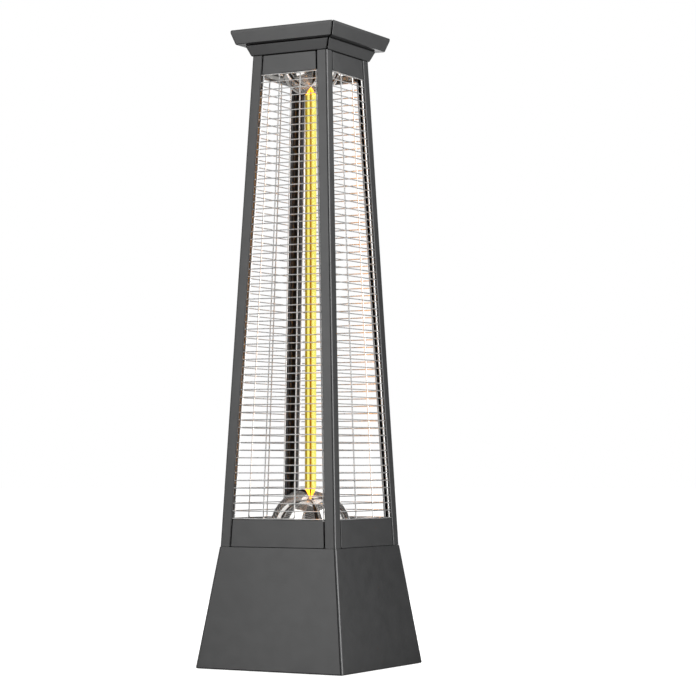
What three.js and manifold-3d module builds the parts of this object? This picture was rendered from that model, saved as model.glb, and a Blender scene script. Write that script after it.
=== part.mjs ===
// Free-standing electric patio heater: a tapered four-post tower with wire guards on a flared plinth,
// an upright quartz lamp between two mirror domes, and a two-tier cap. Millimetres, +Z up.
// The origin is on the ground at the centre of the plinth; the front of the heater faces -Y.
import * as THREE from 'three';
import { mergeVertices } from 'three/addons/utils/BufferGeometryUtils.js';
import Module from 'manifold-3d';

const wasm = await Module();
wasm.setup();

// ---- driving dimensions ----
const HEIGHT = 1205;
const SHEET = 1.2;
const GAP = 0.3;
const PAST = 5; // how far a cutting tool runs past what it cuts

const PLINTH_BOTTOM = 1.2;
const PLINTH_BOTTOM_HALF = 157.8;
const PLINTH_TOP = 227;
const PLINTH_TOP_HALF = 125.7;
const PLINTH_FLANGE = 18;

const TOWER_BOTTOM_HALF = 124.4;
const TOWER_TOP = 1156.2;
const TOWER_TOP_HALF = 81.4;
const POST_FLANGE = 22;
const POST_LIP = 8;
const WINDOW_BOTTOM = 278.6;
const WINDOW_TOP = 1119.6;
const PANEL_FLANGE = 11;
const PANEL_SIDE_GAP = 2.2;
const PANEL_RETURN = 8;

const WIRE = 2;
const WIRE_COUNT = 60;
const GUARD_INSET = 1.5;
const GUARD_SIDE_GAP = 0.8;
const GUARD_RAIL = 3;
const STAY = 2.5;
const STAY_BOTTOM_X = 33.6;
const STAY_TOP_X = 22.4;

const CROWN_BOTTOM_HALF = 84.1;
const CROWN_TOP = 1177.1;
const CROWN_TOP_HALF = 92.6;
const LID_BOTTOM_HALF = 105.8;
const LID_FLARE_TOP = 1199;
const LID_TOP_HALF = 112.9;

const LOWER_DOME_RADIUS = 77;
const LOWER_DOME_CENTRE = 259;
const UPPER_DOME_RADIUS = 57;
const UPPER_DOME_CENTRE = 1142;
const CEILING = 1127;

const TUBE_RADIUS = 11;
const TUBE_WALL = 1.2;
const TUBE_BOTTOM = 295;
const TUBE_TOP = 1131;
const FILAMENT_RADIUS = 2;
const CAP_RADIUS = 15;
const CAP_LENGTH = 34;
const CAP_GRIP = 12;

const FOOT_SPREAD = 118;
const SWITCH_X = -52;
const SWITCH_Z = 103;
const GLAND_X = 52;
const ROCKER_TILT = 10;
const TIP_X = 60;
const TIP_Y = -50;
const TIP_TRAVEL = 6;

// ---- materials ----
const steelPaint = { color: 0x54565a, roughness: 0.45, metalness: 0.4 };
const chromeWire = { color: 0xd9d9d6, roughness: 0.15, metalness: 1 };
const mirror = { color: 0xe4e2dd, roughness: 0.05, metalness: 1 };
const zinc = { color: 0xb9bcc0, roughness: 0.35, metalness: 0.9 };
const rubber = { color: 0x1b1b1c, roughness: 0.9, metalness: 0 };
const blackPlastic = { color: 0x17181a, roughness: 0.5, metalness: 0 };
const whitePlastic = { color: 0xd8d6cf, roughness: 0.6, metalness: 0 };
const ceramic = { color: 0xece6d8, roughness: 0.7, metalness: 0 };
const quartz = { color: 0xffe27a, roughness: 0.08, metalness: 0, transparent: true, opacity: 0.6 };
const glow = { color: 0xd07a12, roughness: 0.6, metalness: 0.2, emissive: 0xd07a12 };
const sleeve = { color: 0xb8412c, roughness: 0.8, metalness: 0 };

const heater = new THREE.Group();

// ---- helpers ----
// Closed solid of a BufferGeometry, for cutting and joining.
function solid(geometry) {
  const bare = geometry.clone();
  bare.deleteAttribute('normal');
  bare.deleteAttribute('uv');
  const merged = mergeVertices(bare, 1e-4);
  const mesh = new wasm.Mesh({
    numProp: 3,
    vertProperties: new Float32Array(merged.attributes.position.array),
    triVerts: new Uint32Array(merged.index.array),
  });
  return new wasm.Manifold(mesh);
}

function geometryOf(manifold) {
  const mesh = manifold.getMesh();
  const geometry = new THREE.BufferGeometry();
  geometry.setAttribute('position', new THREE.BufferAttribute(new Float32Array(mesh.vertProperties), 3));
  geometry.setIndex(new THREE.BufferAttribute(new Uint32Array(mesh.triVerts), 1));
  geometry.computeVertexNormals();
  return geometry;
}

function cut(body, ...tools) {
  return geometryOf(tools.reduce((rest, tool) => rest.subtract(solid(tool)), solid(body)));
}

function join(body, ...others) {
  return geometryOf(others.reduce((sum, other) => sum.add(solid(other)), solid(body)));
}

function common(a, b) {
  return geometryOf(solid(a).intersect(solid(b)));
}

function add(name, geometry, look, place = heater) {
  const mesh = new THREE.Mesh(geometry, new THREE.MeshStandardMaterial(look));
  mesh.name = name;
  place.add(mesh);
  return mesh;
}

function box(x0, x1, y0, y1, z0, z1) {
  const geometry = new THREE.BoxGeometry(x1 - x0, y1 - y0, z1 - z0);
  return geometry.translate((x0 + x1) / 2, (y0 + y1) / 2, (z0 + z1) / 2);
}

function upright(radius, z0, z1, x = 0, y = 0, sides = 16) {
  const geometry = new THREE.CylinderGeometry(radius, radius, z1 - z0, sides);
  return geometry.rotateX(Math.PI / 2).translate(x, y, (z0 + z1) / 2);
}

// Body of revolution about Z from the closed outline given as [radius, z] points.
function turned(outline, sides = 24) {
  let points = outline.map(([radius, z]) => new THREE.Vector2(radius, z));
  if (THREE.ShapeUtils.isClockWise(points)) points.reverse();
  const onAxis = points.findIndex((point, i) => point.x === 0 && points.at(i - 1).x === 0);
  if (onAxis >= 0) points = [...points.slice(onAxis), ...points.slice(0, onAxis)];
  else points.push(points[0].clone());
  return new THREE.LatheGeometry(points, sides).rotateX(Math.PI / 2);
}

// The same on a square plan, with half-widths in place of radii.
function squared(points) {
  const corners = points.map(([half, z]) => [half * Math.SQRT2, z]);
  return turned(corners, 4).rotateZ(Math.PI / 4);
}

// Outline of a sheet that follows a line of points, as a closed polygon of the given thickness.
function sheetOutline(line, thickness) {
  const side = (sign) => line.map((point, i) => {
    const before = line[Math.max(i - 1, 0)];
    const after = line[Math.min(i + 1, line.length - 1)];
    const a = new THREE.Vector2(point[0] - before[0], point[1] - before[1]);
    const b = new THREE.Vector2(after[0] - point[0], after[1] - point[1]);
    if (i === 0) a.copy(b);
    if (i === line.length - 1) b.copy(a);
    a.normalize();
    b.normalize();
    const mitre = a.clone().add(b).normalize();
    const reach = thickness / 2 / mitre.dot(a);
    return [point[0] - sign * mitre.y * reach, point[1] + sign * mitre.x * reach];
  });
  return [...side(-1), ...side(1).reverse()];
}

function shapeOf(points) {
  return new THREE.Shape(points.map(([x, y]) => new THREE.Vector2(x, y)));
}

function extruded(points, depth) {
  return new THREE.ExtrudeGeometry(shapeOf(points), { depth, bevelEnabled: false });
}

const SIDES = ['front', 'right', 'back', 'left'];
const CORNERS = ['front_right', 'back_right', 'back_left', 'front_left'];

// Turns a piece made for the front (facing -Y) to the given side.
function turnTo(geometry, side) {
  return geometry.clone().rotateZ(side * Math.PI / 2);
}

const taper = (TOWER_BOTTOM_HALF - TOWER_TOP_HALF) / (TOWER_TOP - PLINTH_TOP);
const towerHalf = (z) => TOWER_BOTTOM_HALF - (z - PLINTH_TOP) * taper;
const plinthSlope = (PLINTH_BOTTOM_HALF - PLINTH_TOP_HALF) / (PLINTH_TOP - PLINTH_BOTTOM);
const plinthHalf = (z) => PLINTH_BOTTOM_HALF - (z - PLINTH_BOTTOM) * plinthSlope;

// Extrusion of an outline in [y, z] from x0 to x1.
function alongX(outline, x0, x1) {
  const basis = new THREE.Matrix4().makeBasis(
    new THREE.Vector3(0, 1, 0), new THREE.Vector3(0, 0, 1), new THREE.Vector3(1, 0, 0));
  return extruded(outline, x1 - x0).applyMatrix4(basis).translate(x0, 0, 0);
}

// Extrusion of a shape in (x, z) from y0 to y1.
function alongY(shape, y0, y1) {
  const geometry = new THREE.ExtrudeGeometry(shape, { depth: y1 - y0, bevelEnabled: false });
  return geometry.rotateX(Math.PI / 2).translate(0, y1, 0);
}

// Leans a piece that stands at y = 0 so that y = 0 becomes the tower's front face.
function onTowerFace(geometry) {
  const start = TOWER_BOTTOM_HALF + taper * PLINTH_TOP;
  return geometry.applyMatrix4(new THREE.Matrix4().set(
    1, 0, 0, 0,
    0, 1, taper, -start,
    0, 0, 1, 0,
    0, 0, 0, 1));
}

// Outline between the front posts from z0 to z1, kept clear of their flanges by the side gap.
function betweenPosts(z0, z1, sideGap) {
  const half = (z) => towerHalf(z) - POST_FLANGE - sideGap;
  return [[-half(z0), z0], [half(z0), z0], [half(z1), z1], [-half(z1), z1]];
}

// ---- plinth: four folded panels with mitred corners ----
const SEAM = 0.8;
const SCREW_INSET = 116.5;
const SCREW_HOLE = 2.3;

function backFace(x, z) {
  const lean = Math.atan(plinthSlope);
  const basis = new THREE.Matrix4().makeBasis(
    new THREE.Vector3(-1, 0, 0),
    new THREE.Vector3(0, -Math.sin(lean), Math.cos(lean)),
    new THREE.Vector3(0, Math.cos(lean), Math.sin(lean)));
  return basis.setPosition(x, plinthHalf(z), z);
}

const GLAND_THREAD = 7.8;
const switchFrame = backFace(SWITCH_X, SWITCH_Z);
const glandFrame = backFace(GLAND_X, SWITCH_Z);
const SWITCH_BODY_X = 9;
const SWITCH_BODY_Y = 14;

function plinthPanel(side) {
  const line = [
    [-(PLINTH_BOTTOM_HALF - PLINTH_FLANGE), PLINTH_BOTTOM + SHEET / 2],
    [-(PLINTH_BOTTOM_HALF - SHEET / 2), PLINTH_BOTTOM + SHEET / 2],
    [-(PLINTH_TOP_HALF - SHEET / 2), PLINTH_TOP - SHEET / 2],
    [-(PLINTH_TOP_HALF - PLINTH_FLANGE), PLINTH_TOP - SHEET / 2],
  ];
  const reach = PLINTH_BOTTOM_HALF + PAST;
  const back = SEAM / Math.SQRT2;
  const mitre = extruded([[0, -back], [-reach, -reach - back], [reach, -reach - back]], PLINTH_TOP + PAST);
  const folded = common(alongX(sheetOutline(line, SHEET), -reach, reach), mitre);
  const screwHole = upright(SCREW_HOLE, PLINTH_TOP - PAST, PLINTH_TOP + PAST, 0, -SCREW_INSET, 12);
  const panel = turnTo(cut(folded, screwHole), side);
  if (SIDES[side] !== 'back') return panel;
  const x = SWITCH_BODY_X + GAP;
  const y = SWITCH_BODY_Y + GAP;
  const switchHole = box(-x, x, -y, y, -PAST, PAST);
  const glandHole = upright(GLAND_THREAD + GAP, -PAST, PAST);
  return cut(panel, switchHole.applyMatrix4(switchFrame), glandHole.applyMatrix4(glandFrame));
}

for (let side = 0; side < 4; side += 1) {
  add(`plinth_${SIDES[side]}`, plinthPanel(side), steelPaint);
}

// ---- base plate with four push-in rubber feet ----
const BASE_BOTTOM = PLINTH_BOTTOM + SHEET + GAP;
const BASE_TOP = BASE_BOTTOM + 1.5;
const BASE_HALF = 155.7;
const FOOT_RADIUS = 14;
const FOOT_NECK = 3.6;
const FOOT_HOLE = 4;
const FOOT_BARB = 6;
const PLUNGER_HOLE = 5.1;

const footPlaces = [[1, -1], [1, 1], [-1, 1], [-1, -1]].map(([x, y]) => [x * FOOT_SPREAD, y * FOOT_SPREAD]);
const footHoles = footPlaces.map(([x, y]) => upright(FOOT_HOLE, 0, BASE_TOP + PAST, x, y, 12));
add('base_plate', cut(box(-BASE_HALF, BASE_HALF, -BASE_HALF, BASE_HALF, BASE_BOTTOM, BASE_TOP),
  ...footHoles, upright(PLUNGER_HOLE, 0, BASE_TOP + PAST, TIP_X, TIP_Y)), zinc);

const footOutline = [
  [0, 0], [FOOT_RADIUS - 1, 0], [FOOT_RADIUS, 1], [FOOT_RADIUS, BASE_BOTTOM - GAP],
  [FOOT_NECK, BASE_BOTTOM - GAP], [FOOT_NECK, BASE_TOP + GAP], [FOOT_BARB, BASE_TOP + GAP],
  [FOOT_HOLE, BASE_TOP + 4], [0, BASE_TOP + 4],
];
footPlaces.forEach(([x, y], corner) => {
  add(`foot_${CORNERS[corner]}`, turned(footOutline, 12), rubber).position.set(x, y, 0);
});

// ---- corner posts: bent angles with a short lip along each free edge ----
function cornerPost() {
  const mid = SHEET / 2;
  const bend = 3;
  const edge = POST_FLANGE - mid;
  const line = [
    [-edge, POST_LIP], [-edge, mid], [-bend, mid], [-mid, bend], [-mid, edge], [-POST_LIP, edge],
  ];
  const bottom = PLINTH_TOP + GAP;
  const top = TOWER_TOP - GAP;
  const start = TOWER_BOTTOM_HALF + taper * PLINTH_TOP;
  const lean = new THREE.Matrix4().set(
    1, 0, -taper, start,
    0, 1, taper, -start,
    0, 0, 1, 0,
    0, 0, 0, 1);
  return extruded(sheetOutline(line, SHEET), top - bottom).translate(0, 0, bottom).applyMatrix4(lean);
}

// ---- panels below and above each window, folded inwards along all four edges ----
const PANEL_INSET = 0.6;

function infillPanel(z0, z1) {
  const face = (z) => -(towerHalf(z) - PANEL_INSET);
  const line = [
    [face(z0) + PANEL_FLANGE, z0 + SHEET / 2], [face(z0) + SHEET / 2, z0 + SHEET / 2],
    [face(z1) + SHEET / 2, z1 - SHEET / 2], [face(z1) + PANEL_FLANGE, z1 - SHEET / 2],
  ];
  const fold = [
    line[1], line[2], [line[2][0] + PANEL_RETURN, line[2][1]], [line[1][0] + PANEL_RETURN, line[1][1]],
  ];
  const reach = TOWER_BOTTOM_HALF;
  const through = (sideGap) => alongY(shapeOf(betweenPosts(z0, z1, sideGap)), -reach - PAST, 0);
  const returns = cut(alongX(fold, -reach, reach), through(PANEL_SIDE_GAP + SHEET));
  const whole = join(alongX(sheetOutline(line, SHEET), -reach, reach), returns);
  return common(whole, through(PANEL_SIDE_GAP));
}

// ---- wire guards: horizontal wires in an edge rail, with two upright stays behind ----
function wireGuard() {
  const bottom = WINDOW_BOTTOM + GAP;
  const top = WINDOW_TOP - GAP;
  const pitch = (top - bottom - WIRE) / (WIRE_COUNT - 1);
  const guard = shapeOf(betweenPosts(bottom, top, GUARD_SIDE_GAP));
  for (let row = 0; row < WIRE_COUNT - 1; row += 1) {
    const low = bottom + row * pitch + WIRE;
    const high = bottom + (row + 1) * pitch;
    const slot = betweenPosts(low, high, GUARD_SIDE_GAP + GUARD_RAIL);
    guard.holes.push(new THREE.Path(slot.reverse().map(([x, z]) => new THREE.Vector2(x, z))));
  }
  return onTowerFace(alongY(guard, GUARD_INSET, GUARD_INSET + WIRE));
}

function guardStays() {
  const bottom = WINDOW_BOTTOM + GAP;
  const top = WINDOW_TOP - GAP;
  const outline = (edge, end) => [
    [-STAY_BOTTOM_X - edge, bottom + end], [STAY_BOTTOM_X + edge, bottom + end],
    [STAY_TOP_X + edge, top - end], [-STAY_TOP_X - edge, top - end],
  ];
  const loop = shapeOf(outline(STAY / 2, 0));
  const inside = outline(-STAY / 2, STAY).reverse();
  loop.holes.push(new THREE.Path(inside.map(([x, z]) => new THREE.Vector2(x, z))));
  const front = GUARD_INSET + WIRE + GAP;
  return onTowerFace(alongY(loop, front, front + STAY));
}

const apronHole = upright(SCREW_HOLE, PLINTH_TOP, PLINTH_TOP + PAST, 0, -SCREW_INSET, 12);
const apron = cut(infillPanel(PLINTH_TOP + GAP, WINDOW_BOTTOM), apronHole);
const frieze = infillPanel(WINDOW_TOP, TOWER_TOP - GAP);
const post = cornerPost();
const guard = wireGuard();
const stays = guardStays();
for (let side = 0; side < 4; side += 1) {
  add(`post_${CORNERS[side]}`, turnTo(post, side), steelPaint);
  add(`apron_${SIDES[side]}`, turnTo(apron, side), steelPaint);
  add(`frieze_${SIDES[side]}`, turnTo(frieze, side), steelPaint);
  add(`guard_${SIDES[side]}`, turnTo(guard, side), chromeWire);
  add(`guard_stays_${SIDES[side]}`, turnTo(stays, side), chromeWire);
}

// ---- tower floor, resting on the aprons, and the four screws that hold the tower down ----
const FLOOR_BOTTOM = PLINTH_TOP + GAP + SHEET + GAP;
const FLOOR_TOP = FLOOR_BOTTOM + 1.5;
const CORNER_CLEAR = POST_FLANGE + PANEL_SIDE_GAP + SHEET + GAP;
const LEAD_HOLE = 6;
const LEAD_X = 85;
const LAMP_LEAD = [40, 45];

// Clears the posts and the panels' side folds out of the corners of a level plate that lies between z0 and z1.
function cornerBoxes(z0, z1) {
  const inner = towerHalf(z1) - CORNER_CLEAR;
  const outer = towerHalf(z0) + PAST;
  return [0, 1, 2, 3].map((side) => turnTo(box(inner, outer, -outer, -inner, z0, z1), side));
}

function towerFloor() {
  const half = towerHalf(FLOOR_TOP) - PANEL_INSET - SHEET - GAP;
  const hole = (radius, x, y) => upright(radius, FLOOR_BOTTOM - 1, FLOOR_TOP + 1, x, y, 12);
  const screwHoles = [0, 1, 2, 3].map((side) => turnTo(hole(SCREW_HOLE, 0, -SCREW_INSET), side));
  return cut(box(-half, half, -half, half, FLOOR_BOTTOM, FLOOR_TOP),
    ...cornerBoxes(FLOOR_BOTTOM - 1, FLOOR_TOP + 1), ...screwHoles,
    hole(LEAD_HOLE, LEAD_X, LEAD_X), hole(LEAD_HOLE, ...LAMP_LEAD));
}
add('tower_floor', towerFloor(), zinc);

const screwSeat = FLOOR_TOP + GAP;
const screwOutline = [
  [0, screwSeat - 14], [1.8, screwSeat - 14], [1.8, screwSeat], [4, screwSeat],
  [3.6, screwSeat + 2], [2, screwSeat + 2.6], [0, screwSeat + 2.6],
];
for (let side = 0; side < 4; side += 1) {
  const screw = turned(screwOutline, 12).translate(0, -SCREW_INSET, 0);
  add(`tower_screw_${SIDES[side]}`, turnTo(screw, side), zinc);
}

// ---- mirror domes around the two ends of the lamp ----
const DOME_SHEET = 1;
const DOME_HOLE = 12;
const DOME_STEPS = 8;
const DOME_SIDES = 28;

function arc(radius, centre, from, to, steps) {
  return Array.from({ length: steps + 1 }, (_, i) => {
    const angle = from + (to - from) * i / steps;
    return [radius * Math.cos(angle), centre + radius * Math.sin(angle)];
  });
}

function lowerDome() {
  const radius = LOWER_DOME_RADIUS - DOME_SHEET / 2;
  const seat = FLOOR_TOP + GAP + DOME_SHEET / 2;
  const shell = arc(radius, LOWER_DOME_CENTRE, 0, Math.acos(DOME_HOLE / radius), DOME_STEPS);
  return turned(sheetOutline([[radius + 9, seat], [radius, seat], ...shell], DOME_SHEET), DOME_SIDES);
}
add('lower_dome', lowerDome(), mirror);

const CEILING_HOLE = 18;

function upperDome() {
  const radius = UPPER_DOME_RADIUS - DOME_SHEET / 2;
  const seat = CEILING - GAP - DOME_SHEET / 2;
  const from = Math.asin((seat - UPPER_DOME_CENTRE) / radius);
  const shell = arc(radius, UPPER_DOME_CENTRE, from, -Math.acos(DOME_HOLE / radius), DOME_STEPS - 2);
  return turned(sheetOutline([[shell[0][0] + 8, seat], ...shell], DOME_SHEET), DOME_SIDES);
}
add('upper_dome', upperDome(), mirror);

function ceilingPlate() {
  const half = towerHalf(CEILING) - PANEL_INSET - SHEET - GAP;
  const rim = WINDOW_TOP + SHEET + GAP;
  const tray = squared([
    [0, CEILING], [half - SHEET, CEILING], [half - SHEET, rim],
    [half, rim], [half, CEILING + SHEET], [0, CEILING + SHEET],
  ]);
  return cut(tray, ...cornerBoxes(rim - 1, CEILING + 3),
    upright(CEILING_HOLE, CEILING - 2, CEILING + 3, 0, 0, 24));
}
add('ceiling_plate', ceilingPlate(), mirror);

// ---- lamp: quartz tube, filament, ceramic end caps and their brackets ----
add('quartz_tube', turned([
  [TUBE_RADIUS - TUBE_WALL, TUBE_BOTTOM], [TUBE_RADIUS, TUBE_BOTTOM],
  [TUBE_RADIUS, TUBE_TOP], [TUBE_RADIUS - TUBE_WALL, TUBE_TOP],
]), quartz);

const PIN = 2;
const capBase = CAP_LENGTH - CAP_GRIP;
const filamentBottom = TUBE_BOTTOM - capBase - PIN;
const filamentTop = TUBE_TOP + capBase + PIN;
add('filament', upright(FILAMENT_RADIUS, filamentBottom, filamentTop, 0, 0, 10), glow);

const capOutline = [
  [FILAMENT_RADIUS + GAP, -capBase], [CAP_RADIUS - 1, -capBase], [CAP_RADIUS, 1 - capBase],
  [CAP_RADIUS, CAP_GRIP - 1], [CAP_RADIUS - 1, CAP_GRIP], [TUBE_RADIUS + GAP, CAP_GRIP],
  [TUBE_RADIUS + GAP, -GAP], [FILAMENT_RADIUS + GAP, -GAP],
];
add('end_cap_lower', turned(capOutline, 16), ceramic).position.z = TUBE_BOTTOM;
add('end_cap_upper', turned(capOutline, 16).rotateX(Math.PI), ceramic).position.z = TUBE_TOP;

function lampBracket(seat, ringBottom, footReach) {
  const inner = CAP_RADIUS + GAP;
  const outer = inner + 2;
  const ringTop = ringBottom + 12;
  const ring = turned([[inner, ringBottom], [outer, ringBottom], [outer, ringTop], [inner, ringTop]]);
  const leg = box(outer - 0.5, outer + 1, -9, 9, seat, ringTop);
  const foot = box(outer - 0.5, footReach, -9, 9, seat, seat + 1.5);
  return join(ring, leg, foot);
}
add('lamp_bracket_lower', lampBracket(FLOOR_TOP + GAP, TUBE_BOTTOM - 14, 40), zinc);
add('lamp_bracket_upper', lampBracket(CEILING + SHEET + GAP, TUBE_TOP + 2, 36), zinc);

// ---- cap: a flared crown and a wider flared lid ----
const crownBottom = TOWER_TOP + GAP;
const crownTop = CROWN_TOP - GAP;
const CROWN_HOLE = 45;
add('cap_crown', squared(sheetOutline([
  [CROWN_HOLE, crownBottom + SHEET / 2], [CROWN_BOTTOM_HALF - SHEET / 2, crownBottom + SHEET / 2],
  [CROWN_TOP_HALF - SHEET / 2, crownTop - SHEET / 2], [CROWN_TOP_HALF - 12, crownTop - SHEET / 2],
], SHEET)), steelPaint);
add('cap_lid', squared(sheetOutline([
  [CROWN_TOP_HALF - 12, CROWN_TOP + SHEET / 2], [LID_BOTTOM_HALF - SHEET / 2, CROWN_TOP + SHEET / 2],
  [LID_TOP_HALF - SHEET / 2, LID_FLARE_TOP], [LID_TOP_HALF - SHEET / 2, HEIGHT - SHEET / 2],
  [0, HEIGHT - SHEET / 2],
], SHEET)), steelPaint);

// ---- rocker switch in the back of the plinth ----
const switchBay = new THREE.Group();
switchBay.applyMatrix4(switchFrame);
heater.add(switchBay);
const BEZEL = 2;
const BEZEL_X = 12;
const BEZEL_Y = 17;
const SWITCH_DEPTH = 22;
const BLADE_DEPTH = 30;
const BLADE_Y = 6;
const BLADE_HALF_WIDTH = 2.4;
const BLADE_HALF_THICKNESS = 0.4;
const CAVITY_X = 6.5;
const CAVITY_Y = 12.6;
const CAVITY_DEPTH = 12;
const PIVOT_DEPTH = -3;
const PIVOT_RADIUS = 1.5;
const PIVOT_PLAY = 0.4;
const PIVOT_REACH = 7.2;
const ROCKER_HALF = 6.1;

// Level pin across the switch, centred on its pivot.
function pivot(radius, reach) {
  return upright(radius, -reach, reach, 0, 0, 12).rotateY(Math.PI / 2);
}

function rockerHousing() {
  const bezel = box(-BEZEL_X, BEZEL_X, -BEZEL_Y, BEZEL_Y, GAP, GAP + BEZEL);
  const body = box(-SWITCH_BODY_X, SWITCH_BODY_X, -SWITCH_BODY_Y, SWITCH_BODY_Y, -SWITCH_DEPTH, GAP + 1);
  const blades = [-BLADE_Y, BLADE_Y].map((y) => box(
    -BLADE_HALF_WIDTH, BLADE_HALF_WIDTH, y - BLADE_HALF_THICKNESS, y + BLADE_HALF_THICKNESS,
    -BLADE_DEPTH, 1 - SWITCH_DEPTH));
  const cavity = box(-CAVITY_X, CAVITY_X, -CAVITY_Y, CAVITY_Y, -CAVITY_DEPTH, PAST);
  const socket = pivot(PIVOT_RADIUS + PIVOT_PLAY, PIVOT_REACH + PIVOT_PLAY).translate(0, 0, PIVOT_DEPTH);
  return cut(join(bezel, body, ...blades), cavity, socket);
}
add('rocker_housing', rockerHousing(), blackPlastic, switchBay);

// Side view of the button about its pivot: two raised ends, a dished face and a tapered underside.
function rockerButton() {
  const end = [11, 6.5];
  const shoulder = [9, 0];
  const keel = [3, -5.5];
  const dish = [0, 4.4];
  const mirrored = ([y, z]) => [-y, z];
  const outline = [mirrored(end), mirrored(shoulder), mirrored(keel), keel, shoulder, end, dish];
  return join(alongX(outline, -ROCKER_HALF, ROCKER_HALF), pivot(PIVOT_RADIUS, PIVOT_REACH));
}
const rocker = add('rocker', rockerButton(), blackPlastic, switchBay);
rocker.position.z = PIVOT_DEPTH;
rocker.rotation.x = -THREE.MathUtils.degToRad(ROCKER_TILT);

// ---- cable gland in the back of the plinth ----
const glandBay = new THREE.Group();
glandBay.applyMatrix4(glandFrame);
heater.add(glandBay);
const GLAND_BORE = 4;
const GLAND_DEPTH = 12;
const GLAND_FLANGE = 12;
const GLAND_FLANGE_TOP = 4;
const GLAND_NECK = 7;
const GLAND_NECK_TOP = 9;
const GLAND_CAP = 10.5;
const GLAND_CAP_TOP = 12.5;
const GLAND_CAP_CHAMFER = 3;
const NUT_RADIUS = 11.5;
const NUT_DEPTH = 7;
add('cable_gland', turned([
  [GLAND_BORE, -GLAND_DEPTH], [GLAND_THREAD, -GLAND_DEPTH], [GLAND_THREAD, GAP], [GLAND_FLANGE, GAP],
  [GLAND_FLANGE, GLAND_FLANGE_TOP], [GLAND_NECK, GLAND_FLANGE_TOP], [GLAND_NECK, GLAND_NECK_TOP],
  [GLAND_BORE, GLAND_NECK_TOP],
], 16), blackPlastic, glandBay);
add('gland_cap', turned([
  [GLAND_NECK + GAP, GLAND_FLANGE_TOP + GAP], [GLAND_CAP, GLAND_FLANGE_TOP + GAP],
  [GLAND_CAP, GLAND_CAP_TOP - GLAND_CAP_CHAMFER], [GLAND_CAP - GLAND_CAP_CHAMFER, GLAND_CAP_TOP],
  [GLAND_BORE, GLAND_CAP_TOP], [GLAND_BORE, GLAND_NECK_TOP + GAP],
  [GLAND_NECK + GAP, GLAND_NECK_TOP + GAP],
], 16), blackPlastic, glandBay);
add('gland_nut', cut(
  upright(NUT_RADIUS, -NUT_DEPTH, -SHEET - GAP, 0, 0, 6),
  upright(GLAND_THREAD + GAP, -NUT_DEPTH - 1, 0)), blackPlastic, glandBay);

// ---- tip-over switch: a plunger that the ground holds up, with its return spring ----
const TIP_TOP = 38;
const TIP_BORE_TOP = 32;
const TIP_HALF_X = 12;
const TIP_HALF_Y = 9;
const PLUNGER = 4.8;
const PLUNGER_CHAMFER = 1.2;
const COLLAR = 5.3;
const COLLAR_BOTTOM = BASE_TOP + 0.6 + TIP_TRAVEL;
const PLUNGER_TOP = COLLAR_BOTTOM + 2.4;

const tipBay = new THREE.Group();
tipBay.position.set(TIP_X, TIP_Y, 0);
heater.add(tipBay);
add('tip_switch_housing', cut(
  box(-TIP_HALF_X, TIP_HALF_X, -TIP_HALF_Y, TIP_HALF_Y, BASE_TOP + GAP, TIP_TOP),
  upright(COLLAR + GAP, BASE_TOP, TIP_BORE_TOP)), whitePlastic, tipBay);
add('tip_switch_plunger', turned([
  [0, 0], [PLUNGER - PLUNGER_CHAMFER, 0], [PLUNGER, PLUNGER_CHAMFER], [PLUNGER, COLLAR_BOTTOM],
  [COLLAR, COLLAR_BOTTOM], [COLLAR, PLUNGER_TOP], [0, PLUNGER_TOP],
], 16), whitePlastic, tipBay);

class Coil extends THREE.Curve {
  constructor(radius, bottom, top, turns) {
    super();
    Object.assign(this, { radius, bottom, top, turns });
  }

  getPoint(t, target = new THREE.Vector3()) {
    const angle = 2 * Math.PI * this.turns * t;
    const z = this.bottom + (this.top - this.bottom) * t;
    return target.set(this.radius * Math.cos(angle), this.radius * Math.sin(angle), z);
  }
}

function wireAlong(path, radius, steps, sides) {
  const ring = new THREE.Shape();
  ring.absarc(0, 0, radius, 0, 2 * Math.PI);
  return new THREE.ExtrudeGeometry(ring, {
    extrudePath: path, steps, bevelEnabled: false, curveSegments: sides / 2,
  });
}

const SPRING_WIRE = 0.5;
const springSeat = SPRING_WIRE + GAP;
const SPRING_RADIUS = 3.8;
const SPRING_TURNS = 5;
const springCoil = new Coil(
  SPRING_RADIUS, PLUNGER_TOP + springSeat, TIP_BORE_TOP - springSeat, SPRING_TURNS);
add('tip_switch_spring', wireAlong(springCoil, SPRING_WIRE, 50, 6), zinc, tipBay);

// ---- terminal block and the leads from it ----
const BLOCK_TOP = 25;
const BLOCK_Y = 70;
const BLOCK_HALF_X = 25;
const BLOCK_HALF_Y = 10;
const POCKET_PITCH = 12;
const pocketPlaces = [-1.5, -0.5, 0.5, 1.5].map((step) => step * POCKET_PITCH);
const pockets = pocketPlaces.map((x) => upright(
  2.5, BLOCK_TOP - 8, BLOCK_TOP + 1, x, BLOCK_Y - 6, 10));
const block = box(
  -BLOCK_HALF_X, BLOCK_HALF_X, BLOCK_Y - BLOCK_HALF_Y, BLOCK_Y + BLOCK_HALF_Y, BASE_TOP + GAP, BLOCK_TOP);
add('terminal_block', cut(block, ...pockets), whitePlastic);

const LEAD = 1.6;
const LEAD_GAP = 0.6;
const LEAD_RISE = 12;
const LEAD_Y = BLOCK_Y + 4;

function lead(name, x, points, steps) {
  const start = BLOCK_TOP + GAP;
  const whole = [[x, LEAD_Y, start], [x, LEAD_Y, start + LEAD_RISE], ...points];
  const path = new THREE.CatmullRomCurve3(
    whole.map((point) => new THREE.Vector3(...point)), false, 'centripetal');
  add(name, wireAlong(path, LEAD, steps, 6), sleeve);
}

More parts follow.
